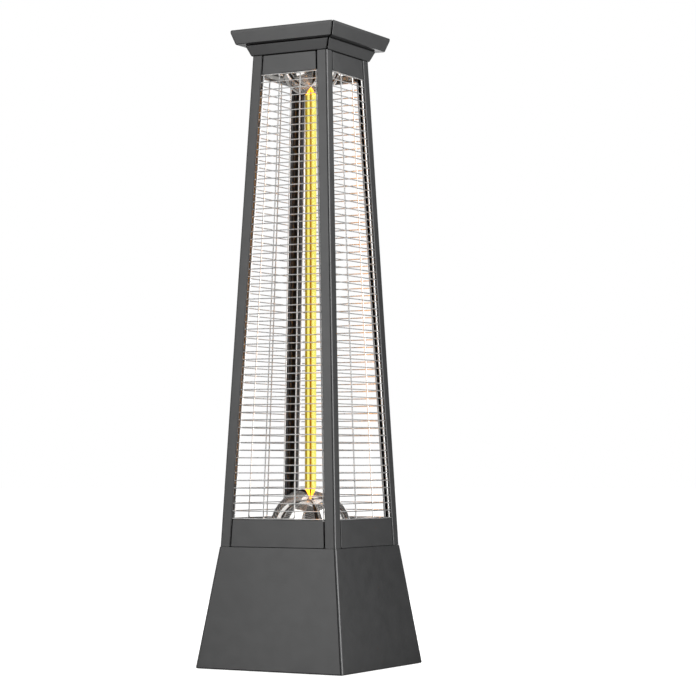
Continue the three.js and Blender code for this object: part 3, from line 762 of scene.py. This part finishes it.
def plinth_panels():
    line = filleted([
        (PLINTH_BOTTOM_HALF - PLINTH_FLANGE, PLINTH_BOTTOM + SHEET / 2),
        (PLINTH_BOTTOM_HALF - SHEET / 2, PLINTH_BOTTOM + SHEET / 2),
        (PLINTH_TOP_HALF - SHEET / 2, PLINTH_TOP - SHEET / 2),
        (PLINTH_TOP_HALF - PLINTH_FLANGE, PLINTH_TOP - SHEET / 2),
    ], PLINTH_FOLDS)
    columns = []
    for half, z in sheet_outline(line, SHEET):
        right = corner_arc(half, plinth_half(z), CORNER_RADIUS, CORNER_STEPS)
        right[-1] = (right[-1][0] - PLINTH_SEAM / math.sqrt(2), right[-1][1])
        columns.append(across(right, z))
    panel = Shape().loft([list(row) for row in zip(*columns)])
    for side, name in enumerate(SIDES):
        made = panel.moved(quarter_turn(side)).piece(f"plinth_{name}_panel", POWDER, f"plinth_{name}")
        if name == "back":
            x, y = SWITCH_BODY_X + GAP, SWITCH_BODY_Y + GAP
            window = Shape().rounded_box((-x, -y, -HOLE_DEPTH), (x, y, HOLE_DEPTH), 0.0005)
            bore = Shape().turned(pillar(GLAND_THREAD + GAP, -HOLE_DEPTH, HOLE_DEPTH))
            punch(made, [window.moved(back_face(SWITCH_X, SWITCH_Z)),
                         bore.moved(back_face(GLAND_X, SWITCH_Z))])


CROWN_BOTTOM_HALF = 0.0841
CROWN_TOP = 1.1771
CROWN_TOP_HALF = 0.0926
CROWN_HOLE = 0.045
LID_BOTTOM_HALF = 0.1058
LID_FLARE_TOP = 1.199
LID_TOP_HALF = 0.1129
CAP_SEAM = 0.0024
CAP_CORNER = 0.0015
CAP_FLANGE = 0.012


def cap_sides(name, line, reference, *nodes):
    """Four folded sides of a cap tier in one piece, with an open seam at each corner."""
    columns = []
    for half, z in sheet_outline(line, SHEET):
        corner = corner_arc(half, reference(z), CAP_CORNER, CORNER_STEPS, math.pi / 3, CAP_SEAM)
        columns.append(across(corner, z))
    rows = [list(row) for row in zip(*columns)]
    tier = Shape()
    for side in range(4):
        turn = quarter_turn(side)
        tier.loft([[turn @ point for point in row] for row in rows])
    return tier.piece(name, POWDER, *nodes)


def cap_tiers():
    bottom, top = TOWER_TOP + GAP, CROWN_TOP - GAP
    mid = SHEET / 2
    slope = (CROWN_TOP_HALF - CROWN_BOTTOM_HALF) / (top - bottom)
    crown = filleted([
        (CROWN_HOLE, bottom + mid), (CROWN_BOTTOM_HALF - mid, bottom + mid),
        (CROWN_TOP_HALF - mid, top - mid), (CROWN_TOP_HALF - CAP_FLANGE, top - mid),
    ], 0.0012)
    cap_sides("cap_crown_sides", crown, lambda z: CROWN_BOTTOM_HALF + (z - bottom) * slope, "cap_crown")

    flare = (LID_TOP_HALF - LID_BOTTOM_HALF) / (LID_FLARE_TOP - CROWN_TOP)
    inner = LID_TOP_HALF - CAP_FLANGE
    lid = filleted([
        (CROWN_TOP_HALF - CAP_FLANGE, CROWN_TOP + mid), (LID_BOTTOM_HALF - mid, CROWN_TOP + mid),
        (LID_TOP_HALF - mid, LID_FLARE_TOP), (LID_TOP_HALF - mid, HEIGHT - mid), (inner, HEIGHT - mid),
    ], [0.0012, 0.004, 0.0012])
    cap_sides("cap_lid_sides", lid, lambda z: min(LID_BOTTOM_HALF + (z - CROWN_TOP) * flare, LID_TOP_HALF))
    plate = Shape().rounded_box((-inner, -inner, HEIGHT - SHEET), (inner, inner, HEIGHT), 0.0002, 1)
    plate.piece("cap_lid_top", POWDER, "cap_lid")


# ---- posts ----
POST_RADIUS = 0.0042


def corner_posts():
    mid = SHEET / 2
    edge = POST_FLANGE - mid
    line = filleted([(-edge, POST_LIP), (-edge, mid), (-mid, mid), (-mid, edge), (-POST_LIP, edge)],
                    [0.0014, POST_RADIUS - mid, 0.0014], 7)
    outline = sheet_outline(line, SHEET)
    bottom, top = PLINTH_TOP + GAP, TOWER_TOP - GAP
    rows = [[Vector((x + tower_half(z), y - tower_half(z), z)) for x, y in outline] for z in (bottom, top)]
    post = Shape().loft(rows)
    for side, name in enumerate(CORNERS):
        post.moved(quarter_turn(side)).piece(f"post_{name}_angle", POWDER, f"post_{name}")


# ---- panels below and above the windows ----
PANEL_BEND = 0.0014
TIGHT_BEND = 0.0002


def infill(z0, z1, kind):
    def face(z):
        return -(tower_half(z) - PANEL_INSET)

    def reach(z):
        return tower_half(z) - POST_FLANGE - PANEL_SIDE_GAP

    mid = SHEET / 2
    line = filleted([
        (face(z0) + PANEL_FLANGE, z0 + mid), (face(z0) + mid, z0 + mid),
        (face(z1) + mid, z1 - mid), (face(z1) + PANEL_FLANGE, z1 - mid)], [TIGHT_BEND, PANEL_BEND - mid])
    outline = sheet_outline(line, SHEET)
    panel = Shape().loft([[Vector((sign * (reach(z) - PANEL_BEND), y, z)) for y, z in outline]
                          for sign in (-1, 1)])
    side = filleted([(-PANEL_BEND, mid), (-mid, mid), (-mid, PANEL_RETURN)], PANEL_BEND - SHEET)
    strip = sheet_outline(side, SHEET, edge_steps=1)
    for sign in (-1, 1):
        panel.loft([[Vector((sign * (reach(z) + x), face(z) + y, z)) for x, y in strip]
                    for z in (z0 + PANEL_BEND, z1 - PANEL_BEND)])
    for turn, name in enumerate(SIDES):
        panel.moved(quarter_turn(turn)).piece(f"{kind}_{name}_panel", POWDER, f"{kind}_{name}")


# ---- wire guards ----
WIRE_RADIUS = 0.001
RAIL_RADIUS = 0.0013
WIRE_DEPTH = 0.0025
RAIL_DEPTH = 0.0047
GUARD_CLEAR = 0.0223
RAIL_CLEAR = 0.0257
STAY_BOTTOM_X = 0.0336
STAY_TOP_X = 0.0224
STAY_RADIUS = 0.00125
STAY_BEHIND = 0.0002
STAY_BEND = 0.005
WELD_DEPTH = (WIRE_DEPTH + RAIL_DEPTH) / 2


def on_face(x, depth, z):
    """A point at a depth behind the tower's front face."""
    return Vector((x, depth - tower_half(z), z))


def weld(shape, x, z, depth):
    """Small flattened nugget where two wires are spot-welded."""
    place = Matrix.Translation(on_face(x, depth, z)) @ Matrix.Rotation(math.pi / 2, 4, "X")
    shape.turned([(0, -0.0012), (0.0011, -0.0007), (0.0015, 0), (0.0011, 0.0007), (0, 0.0012)], 7, place)


def wire_guards():
    low, high = WINDOW_BOTTOM + GAP + WIRE_RADIUS, WINDOW_TOP - GAP - WIRE_RADIUS
    heights = [low + (high - low) * row / (WIRE_COUNT - 1) for row in range(WIRE_COUNT)]
    wires, rails, stays = Shape(), Shape(), Shape()
    slope = (STAY_BOTTOM_X - STAY_TOP_X) / (high - low)
    for z in heights:
        end = tower_half(z) - GUARD_CLEAR
        wires.tube([on_face(x, WIRE_DEPTH, z) for x in (-end, -end + 0.0004, 0, end - 0.0004, end)],
                   WIRE_RADIUS)
    for sign in (-1, 1):
        wires.tube([on_face(sign * (tower_half(z) - RAIL_CLEAR), RAIL_DEPTH, z)
                    for z in (low - WIRE_RADIUS, (low + high) / 2, high + WIRE_RADIUS)], RAIL_RADIUS)
        for z in heights:
            weld(wires, sign * (tower_half(z) - RAIL_CLEAR), z, WELD_DEPTH)
            weld(stays, sign * (STAY_BOTTOM_X - (z - low) * slope), z, WELD_DEPTH + STAY_BEHIND)
    loop = [(-STAY_BOTTOM_X, low), (STAY_BOTTOM_X, low), (STAY_TOP_X, high), (-STAY_TOP_X, high)]
    middle = [(0, low), *loop[1:], loop[0], (0, low)]
    path = filleted(middle, STAY_BEND)[:-1]
    stays.tube([on_face(x, RAIL_DEPTH + STAY_BEHIND, z) for x, z in path], STAY_RADIUS, closed=True)
    for side, name in enumerate(SIDES):
        turn = quarter_turn(side)
        wires.moved(turn).piece(f"guard_{name}_wires", CHROME, f"guard_{name}")
        stays.moved(turn).piece(f"guard_{name}_stays", CHROME, f"guard_stays_{name}")


# ---- mirror domes ----
LOWER_DOME_RADIUS = 0.077
LOWER_DOME_CENTRE = 0.259
UPPER_DOME_RADIUS = 0.057
UPPER_DOME_CENTRE = 1.142
DOME_SHEET = 0.001
DOME_HOLE = 0.012
CEILING = 1.127
DOME_SIDES = 120
LOWER_RIM = 0.009
UPPER_RIM = 0.008


def arc(radius, centre, start, end, steps):
    angles = [start + (end - start) * i / steps for i in range(steps + 1)]
    return [Vector((radius * math.cos(a), centre + radius * math.sin(a))) for a in angles]


def dome_shell(line, node):
    Shape().turned(sheet_outline(line, DOME_SHEET), DOME_SIDES).piece(f"{node}_shell", MIRROR, node)


def domes():
    radius = LOWER_DOME_RADIUS - DOME_SHEET / 2
    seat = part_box("lower_dome")[0].z + DOME_SHEET / 2
    shell = arc(radius, LOWER_DOME_CENTRE, 0, math.acos(DOME_HOLE / radius), 40)
    foot = filleted([(radius + LOWER_RIM, seat), (radius, seat), (radius, LOWER_DOME_CENTRE)], 0.002)
    line = [*foot[:-1], *shell]
    dome_shell(line, "lower_dome")

    radius = UPPER_DOME_RADIUS - DOME_SHEET / 2
    seat = CEILING - GAP - DOME_SHEET / 2
    start = math.asin((seat - UPPER_DOME_CENTRE) / radius)
    shell = arc(radius, UPPER_DOME_CENTRE, start - 0.03, -math.acos(DOME_HOLE / radius), 36)
    rim = filleted([(shell[0].x + UPPER_RIM, seat), (shell[0].x + 0.0006, seat), shell[0]], 0.0006, 3)
    line = [*rim[:-1], *shell]
    dome_shell(line, "upper_dome")


# ---- lamp ----
TUBE_RADIUS = 0.011
TUBE_WALL = 0.0012
GLOW_RADIUS = 0.0106
TUBE_BOTTOM = 0.295
TUBE_TOP = 1.131
COIL_RADIUS = 0.0018
COIL_WIRE = 0.00045
COIL_PITCH = 0.0012
COIL_INSET = 0.012
COIL_STEPS = 8
PIN_RADIUS = 0.0016
PIN_OVERLAP = 0.004
TUBE_LIP = 0.0004
TUBE_SIDES = 64
GLOW_INSET = 0.002


def lamp():
    wall = [(TUBE_RADIUS - TUBE_WALL, TUBE_BOTTOM), (TUBE_RADIUS - TUBE_LIP, TUBE_BOTTOM),
            (TUBE_RADIUS, TUBE_BOTTOM + TUBE_LIP), (TUBE_RADIUS, TUBE_TOP - TUBE_LIP),
            (TUBE_RADIUS - TUBE_LIP, TUBE_TOP), (TUBE_RADIUS - TUBE_WALL, TUBE_TOP)]
    Shape().turned(wall, TUBE_SIDES).piece("quartz_tube_wall", QUARTZ, "quartz_tube")

    glow = bpy.data.meshes.new("quartz_tube_glow")
    points = [point[:] for z in (TUBE_BOTTOM + GLOW_INSET, TUBE_TOP - GLOW_INSET)
              for point in ring_at(GLOW_RADIUS, z, TUBE_SIDES)]
    # The faces point to the axis.
    faces = [(i, TUBE_SIDES + i, TUBE_SIDES + (i + 1) % TUBE_SIDES, (i + 1) % TUBE_SIDES)
             for i in range(TUBE_SIDES)]
    glow.from_pydata(points, [], faces)
    glow.polygons.foreach_set("use_smooth", [True] * len(glow.polygons))
    glow.materials.append(GLOW)
    inner = bpy.data.objects.new("quartz_tube_glow", glow)
    scene.collection.objects.link(inner)
    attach(inner, "heater")

    low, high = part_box("filament")
    first, last = TUBE_BOTTOM + COIL_INSET, TUBE_TOP - COIL_INSET
    steps = round((last - first) / COIL_PITCH) * COIL_STEPS
    turn = 2 * math.pi / COIL_STEPS
    coil = Shape()
    coil.tube([Vector((COIL_RADIUS * math.cos(turn * i), COIL_RADIUS * math.sin(turn * i),
                       first + (last - first) * i / steps)) for i in range(steps + 1)], COIL_WIRE, 5)
    coil.turned(pillar(PIN_RADIUS, low.z, first + PIN_OVERLAP), 12)
    coil.turned(pillar(PIN_RADIUS, last - PIN_OVERLAP, high.z), 12)
    coil.piece("filament_coil", COIL, "filament")


# ---- rubber feet ----
FOOT_SPREAD = 0.118
FOOT_RADIUS = 0.014
FOOT_NECK = 0.0036
FOOT_BARB = 0.006
SOLE_RIB = 0.0022
SOLE_RIBS = 5
SOLE_DEPTH = 0.0005


def rubber_feet():
    plate_low, plate_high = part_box("base_plate")
    under, over = plate_low.z - GAP, plate_high.z + GAP
    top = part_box("foot_front_right")[1].z
    sole = [(0, SOLE_DEPTH)]
    for rib in range(SOLE_RIBS):
        start = 0.0012 + rib * (SOLE_RIB + 0.0003)
        sole += [(start, SOLE_DEPTH), (start + 0.0003, 0), (start + SOLE_RIB - 0.0008, 0),
                 (start + SOLE_RIB - 0.0005, SOLE_DEPTH)]
    rim = filleted([(0.0134, SOLE_DEPTH), (0.0134, 0.0002), (FOOT_RADIUS, 0.0002), (FOOT_RADIUS, under),
                    (FOOT_NECK, under), (FOOT_NECK, over), (FOOT_BARB, over), (0.004, top), (0, top)],
                   [0.0001, 0.0005, 0.0005, 0.0003, 0.0003, 0.0004, 0.0005], 3)
    foot = Shape().turned([*sole, *rim], 64)
    for (x, y), corner in zip([(1, -1), (1, 1), (-1, 1), (-1, -1)], CORNERS):
        place = Matrix.Translation((x * FOOT_SPREAD, y * FOOT_SPREAD, 0))
        foot.moved(place).piece(f"foot_{corner}_rubber", RUBBER, f"foot_{corner}")


# ---- screws through the tower's floor ----
SCREW_INSET = 0.1165
SCREW_HEAD = 0.004
SCREW_SHANK = 0.0018
THREAD_DEPTH = 0.00025
THREAD_PITCH = 0.0008
THREAD_START = 0.0003
SCREW_EDGE = 0.0004
RECESS_REACH = 0.0021
RECESS_HALF = 0.00045
RECESS_DEPTH = 0.0011


def tower_screws():
    low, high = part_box("tower_screw_front")
    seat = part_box("tower_floor")[1].z + GAP
    rise = high.z - seat
    outline = [(0, low.z), (SCREW_SHANK - SCREW_EDGE, low.z)]
    turns = int((seat - low.z - 0.001) / THREAD_PITCH)
    root = SCREW_SHANK - THREAD_DEPTH
    for turn in range(turns):
        z = low.z + THREAD_START + turn * THREAD_PITCH
        outline += [(root, z), (SCREW_SHANK, z + THREAD_PITCH / 2)]
    outline += [(root, seat - 2 * THREAD_START), (SCREW_SHANK, seat), (SCREW_HEAD - SCREW_EDGE / 4, seat)]
    dome = [(SCREW_HEAD * math.cos(a), seat + SCREW_EDGE + (rise - SCREW_EDGE) * math.sin(a))
            for a in [math.pi / 2 * i / 10 for i in range(10)]]
    outline += [*dome, (RECESS_REACH * 0.15, high.z), (0, high.z)]
    screw = Shape().turned(outline, 48)
    for point in screw.points:
        in_cross = min(abs(point.x), abs(point.y)) < RECESS_HALF
        if point.z > seat and in_cross and math.hypot(point.x, point.y) < RECESS_REACH:
            point.z = high.z - RECESS_DEPTH
    for side, name in enumerate(SIDES):
        place = quarter_turn(side) @ Matrix.Translation((0, -SCREW_INSET, 0))
        screw.moved(place).piece(f"tower_screw_{name}_head", ZINC, f"tower_screw_{name}")


# ---- rocker switch and cable gland in the back of the plinth ----
BEZEL = 0.002
BEZEL_X = 0.012
BEZEL_Y = 0.017
SWITCH_DEPTH = 0.022
BLADE_DEPTH = 0.030
BLADE_Y = 0.006
BLADE_HALF_WIDTH = 0.0024
BLADE_HALF_THICKNESS = 0.0004
CAVITY_X = 0.0065
CAVITY_Y = 0.0126
CAVITY_DEPTH = 0.012
PIVOT_DEPTH = 0.003
PIVOT_RADIUS = 0.0015
ROCKER_TILT = math.radians(10)
ROCKER_HALF = 0.0061
ROCKER_TIP = (0.011, 0.0065)
ROCKER_DISH = 0.0044
ROCKER_KEEL = (0.003, 0.0055)
ROCKER_SHOULDER = (0.009, 0)
FACE_END = 0.0088
MARK_Y = 0.0062
MARK_HEIGHT = 0.0001
MARK_REACH = 0.0018
MARK_HALF = 0.0003
MARK_STEPS = 6


def soft_rectangle(half_x, half_y, radius, z, steps=6):
    """Rectangle with round corners at one height."""
    points = []
    for quarter, (x, y) in enumerate([(1, 1), (-1, 1), (-1, -1), (1, -1)]):
        for i in range(steps + 1):
            angle = math.pi / 2 * (quarter + i / steps)
            points.append(Vector((x * (half_x - radius) + radius * math.cos(angle),
                                  y * (half_y - radius) + radius * math.sin(angle), z)))
    return points


def switch_housing():
    top, edge = GAP + BEZEL, 0.0006
    housing = Shape().loft([
        soft_rectangle(CAVITY_X, CAVITY_Y, 0.0008, GAP),
        soft_rectangle(CAVITY_X, CAVITY_Y, 0.0008, top - 0.0003),
        soft_rectangle(CAVITY_X + 0.0003, CAVITY_Y + 0.0003, 0.0011, top),
        soft_rectangle(BEZEL_X - edge, BEZEL_Y - edge, 0.0016, top),
        soft_rectangle(BEZEL_X - edge * 0.3, BEZEL_Y - edge * 0.3, 0.0021, top - edge * 0.3),
        soft_rectangle(BEZEL_X, BEZEL_Y, 0.0022, top - edge),
        soft_rectangle(BEZEL_X, BEZEL_Y, 0.0022, GAP + 0.0002),
        soft_rectangle(BEZEL_X - 0.0002, BEZEL_Y - 0.0002, 0.002, GAP),
    ], wrap=True)
    housing.loft([
        soft_rectangle(CAVITY_X, CAVITY_Y, 0.0008, -CAVITY_DEPTH),
        soft_rectangle(CAVITY_X, CAVITY_Y, 0.0008, GAP),
        soft_rectangle(SWITCH_BODY_X, SWITCH_BODY_Y, 0.001, GAP),
        soft_rectangle(SWITCH_BODY_X, SWITCH_BODY_Y, 0.001, 0.0006 - SWITCH_DEPTH),
        soft_rectangle(SWITCH_BODY_X - 0.0006, SWITCH_BODY_Y - 0.0006, 0.0006, -SWITCH_DEPTH),
    ])
    for y in (-BLADE_Y, BLADE_Y):
        housing.rounded_box((-BLADE_HALF_WIDTH, y - BLADE_HALF_THICKNESS, -BLADE_DEPTH),
                            (BLADE_HALF_WIDTH, y + BLADE_HALF_THICKNESS, -SWITCH_DEPTH), 0.0002)
    housing.moved(back_face(SWITCH_X, SWITCH_Z)).piece("rocker_bezel", BLACK, "rocker_housing")


def dish_height(y):
    """Height of the button's hollow face above its pivot."""
    return ROCKER_DISH + (ROCKER_TIP[1] - ROCKER_DISH) * (y / ROCKER_TIP[0]) ** 2


def rocker_button():
    side = filleted([(0, -ROCKER_KEEL[1]), (ROCKER_KEEL[0], -ROCKER_KEEL[1]), ROCKER_SHOULDER, ROCKER_TIP,
                     (FACE_END, dish_height(FACE_END))], [0.0008, 0.0012, 0.0007], 5)
    face = [Vector((y, dish_height(y))) for y in [FACE_END * (1 - i / 8) for i in range(1, 8)]]
    right = [*side[1:], *face]
    outline = [*right, Vector((0, ROCKER_DISH)), *[Vector((-p.x, p.y)) for p in reversed(right)]]
    rows = []
    for x, keep in [(-1, 0.93), (-0.98, 0.97), (-0.94, 1), (0.94, 1), (0.98, 0.97), (1, 0.93)]:
        rows.append([Vector((x * ROCKER_HALF, p.x * keep, p.y * keep)) for p in outline])
    place = (back_face(SWITCH_X, SWITCH_Z) @ Matrix.Translation((0, 0, -PIVOT_DEPTH))
             @ Matrix.Rotation(-ROCKER_TILT, 4, "X"))
    button = Shape().loft(rows)
    reach = CAVITY_X - 0.0001
    button.turned(pillar(PIVOT_RADIUS, -reach, reach), 32, Matrix.Rotation(math.pi / 2, 4, "Y"))
    button.moved(place).piece("rocker_button", BLACK, "rocker", body="rocker")

    marks = Shape()
    for step in range(MARK_STEPS):
        start = MARK_Y - MARK_REACH + step * 2 * MARK_REACH / MARK_STEPS
        end = start + 2 * MARK_REACH / MARK_STEPS
        marks.rounded_box((-MARK_HALF, start, -MARK_HEIGHT), (MARK_HALF, end, MARK_HEIGHT), 0.00002, 1)
    inner = MARK_REACH - 2 * MARK_HALF
    ring = [(inner, -MARK_HEIGHT), (MARK_REACH, -MARK_HEIGHT),
            (MARK_REACH, MARK_HEIGHT), (inner, MARK_HEIGHT)]
    marks.turned(ring, 40, Matrix.Translation((0, -MARK_Y, 0)))
    for point in marks.points:
        point.z += dish_height(point.y)
    marks.moved(place).piece("rocker_marks", WHITE, body="rocker")


GLAND_BORE = 0.004
GLAND_DEPTH = 0.012
GLAND_FLANGE = 0.012
GLAND_FLANGE_TOP = 0.004
GLAND_NECK = 0.007
GLAND_NECK_TOP = 0.009
GLAND_CAP = 0.0105
GLAND_CAP_TOP = 0.0125
CAP_SHOULDER = 0.003
CAP_RIBS = 16
RIB_DEPTH = 0.0007
RIB_FADE = 0.0012
NUT_RADIUS = 0.0115
NUT_DEPTH = 0.007
NUT_FACE = NUT_RADIUS * 0.86
NUT_BEVEL = 0.0007
NUT_STEPS = 60
GLAND_PITCH = 0.0015


def hexagon(radius, z):
    """Six-sided outline, as many points as a round one has."""
    points = []
    for i in range(NUT_STEPS):
        angle = 2 * math.pi * i / NUT_STEPS
        away = angle % (math.pi / 3) - math.pi / 6
        reach = radius * math.cos(math.pi / 6) / math.cos(away)
        points.append(Vector((reach * math.cos(angle), reach * math.sin(angle), z)))
    return points


def cable_gland():
    place = back_face(GLAND_X, SWITCH_Z)
    shank = [(GLAND_BORE, -GLAND_DEPTH), (GLAND_THREAD - 0.0006, -GLAND_DEPTH)]
    for turn in range(int((GLAND_DEPTH - 0.0015) / GLAND_PITCH)):
        z = -GLAND_DEPTH + 0.0004 + turn * GLAND_PITCH
        shank += [(GLAND_THREAD - 0.0005, z), (GLAND_THREAD, z + 0.0005), (GLAND_THREAD, z + 0.0008)]
    body = filleted([
        (GLAND_THREAD, -0.0015), (GLAND_THREAD, GAP), (GLAND_FLANGE, GAP), (GLAND_FLANGE, GLAND_FLANGE_TOP),
        (GLAND_NECK, GLAND_FLANGE_TOP), (GLAND_NECK, GLAND_NECK_TOP), (GLAND_BORE, GLAND_NECK_TOP),
        (GLAND_BORE, 0)], [0.0001, 0.0004, 0.0008, 0.0002, 0.0003, 0.0003], 4)
    Shape().turned([*shank, *body], 64).moved(place).piece("cable_gland_body", BLACK, "cable_gland")

    seat = GLAND_FLANGE_TOP + GAP
    cap = filleted([
        (GLAND_NECK + GAP, GLAND_NECK_TOP), (GLAND_NECK + GAP, seat), (GLAND_CAP, seat),
        (GLAND_CAP, GLAND_CAP_TOP - 0.0024), (GLAND_CAP - CAP_SHOULDER, GLAND_CAP_TOP),
        (GLAND_BORE, GLAND_CAP_TOP),
        (GLAND_BORE, GLAND_NECK_TOP + GAP), (GLAND_NECK + GAP, GLAND_NECK_TOP + GAP)],
        [0.0001, 0.0004, 0.0018, 0.0016, 0.0007, 0.0001], 5)
    grip = Shape().turned(cap[1:], 160)
    for point in grip.points:
        radius = math.hypot(point.x, point.y)
        if radius > GLAND_CAP - RIB_FADE:
            angle = math.atan2(point.y, point.x)
            groove = max(0.0, math.cos(CAP_RIBS * angle)) ** 3
            depth = RIB_DEPTH * groove * min(1.0, (radius - GLAND_CAP + RIB_FADE) / RIB_FADE)
            point.x *= 1 - depth / radius
            point.y *= 1 - depth / radius
    grip.moved(place).piece("gland_cap_grip", BLACK, "gland_cap")

    near, far = -SHEET - GAP, -NUT_DEPTH
    nut = Shape().loft([
        ring_at(GLAND_THREAD + GAP, far, NUT_STEPS), ring_at(GLAND_THREAD + GAP, near, NUT_STEPS),
        ring_at(NUT_FACE, near, NUT_STEPS), hexagon(NUT_RADIUS, near - NUT_BEVEL),
        hexagon(NUT_RADIUS, far + NUT_BEVEL), ring_at(NUT_FACE, far, NUT_STEPS)], wrap=True)
    nut.moved(place).piece("gland_nut_hexagon", BLACK, "gland_nut")


# ---- tip-over switch's plunger, and the lamp's ceramic ends ----
PLUNGER = 0.0048
COLLAR = 0.0053
COLLAR_HEIGHT = 0.0024
CAP_RADIUS = 0.015
CAP_LENGTH = 0.034
CAP_GRIP = 0.012
PIN_BORE = 0.0023
CAP_GROOVE = 0.0008


def plunger():
    low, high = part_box("tip_switch_plunger")
    centre = (low + high) / 2
    collar = high.z - COLLAR_HEIGHT
    outline = filleted([
        (0, low.z), (PLUNGER, low.z), (PLUNGER, collar), (COLLAR, collar), (COLLAR, high.z), (0, high.z)],
        [0.0022, 0.0002, 0.0002, 0.0005], 8)
    pin = Shape().turned(outline, 64, Matrix.Translation((centre.x, centre.y, 0)))
    pin.piece("tip_switch_pin", WHITE, "tip_switch_plunger", body="tip_plunger")


def end_caps():
    base = CAP_LENGTH - CAP_GRIP
    corners = [(PIN_BORE, -base), (CAP_RADIUS, -base)]
    radii = [0.0015]
    for z in (-0.012, -0.006):
        corners += [(CAP_RADIUS, z), (CAP_RADIUS - CAP_GROOVE, z + 0.0006),
                    (CAP_RADIUS - CAP_GROOVE, z + 0.0018), (CAP_RADIUS, z + 0.0024)]
        radii += [0.0003] * 4
    socket = TUBE_RADIUS + GAP
    corners += [(CAP_RADIUS, CAP_GRIP), (socket, CAP_GRIP), (socket, -GAP), (PIN_BORE, -GAP)]
    radii += [0.0012, 0.0004, 0.0002]
    cap = Shape().turned(filleted(corners, radii, 4), 72)
    for name, z, turn in (("lower", TUBE_BOTTOM, 0), ("upper", TUBE_TOP, math.pi)):
        place = Matrix.Translation((0, 0, z)) @ Matrix.Rotation(turn, 4, "X")
        cap.moved(place).piece(f"end_cap_{name}_ceramic", CERAMIC, f"end_cap_{name}")


plinth_panels()
cap_tiers()
corner_posts()
infill(PLINTH_TOP + GAP, WINDOW_BOTTOM, "apron")
infill(WINDOW_TOP, TOWER_TOP - GAP, "frieze")
wire_guards()
domes()
lamp()
rubber_feet()
tower_screws()
switch_housing()
rocker_button()
cable_gland()
plunger()
end_caps()


# ---- CAD nodes that keep their shape ----
KEPT = {
    "base_plate": ZINC, "tower_floor": ZINC, "ceiling_plate": MIRROR, "lamp_bracket_lower": ZINC,
    "lamp_bracket_upper": ZINC, "tip_switch_spring": ZINC, "tip_switch_housing": WHITE,
    "terminal_block": WHITE, "switch_lead": SLEEVE, "tip_switch_lead": SLEEVE,
    "lamp_lead_lower": SLEEVE, "lamp_lead_upper": SLEEVE,
}
for node, look in KEPT.items():
    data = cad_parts[node].data
    data.materials.clear()
    data.materials.append(look)
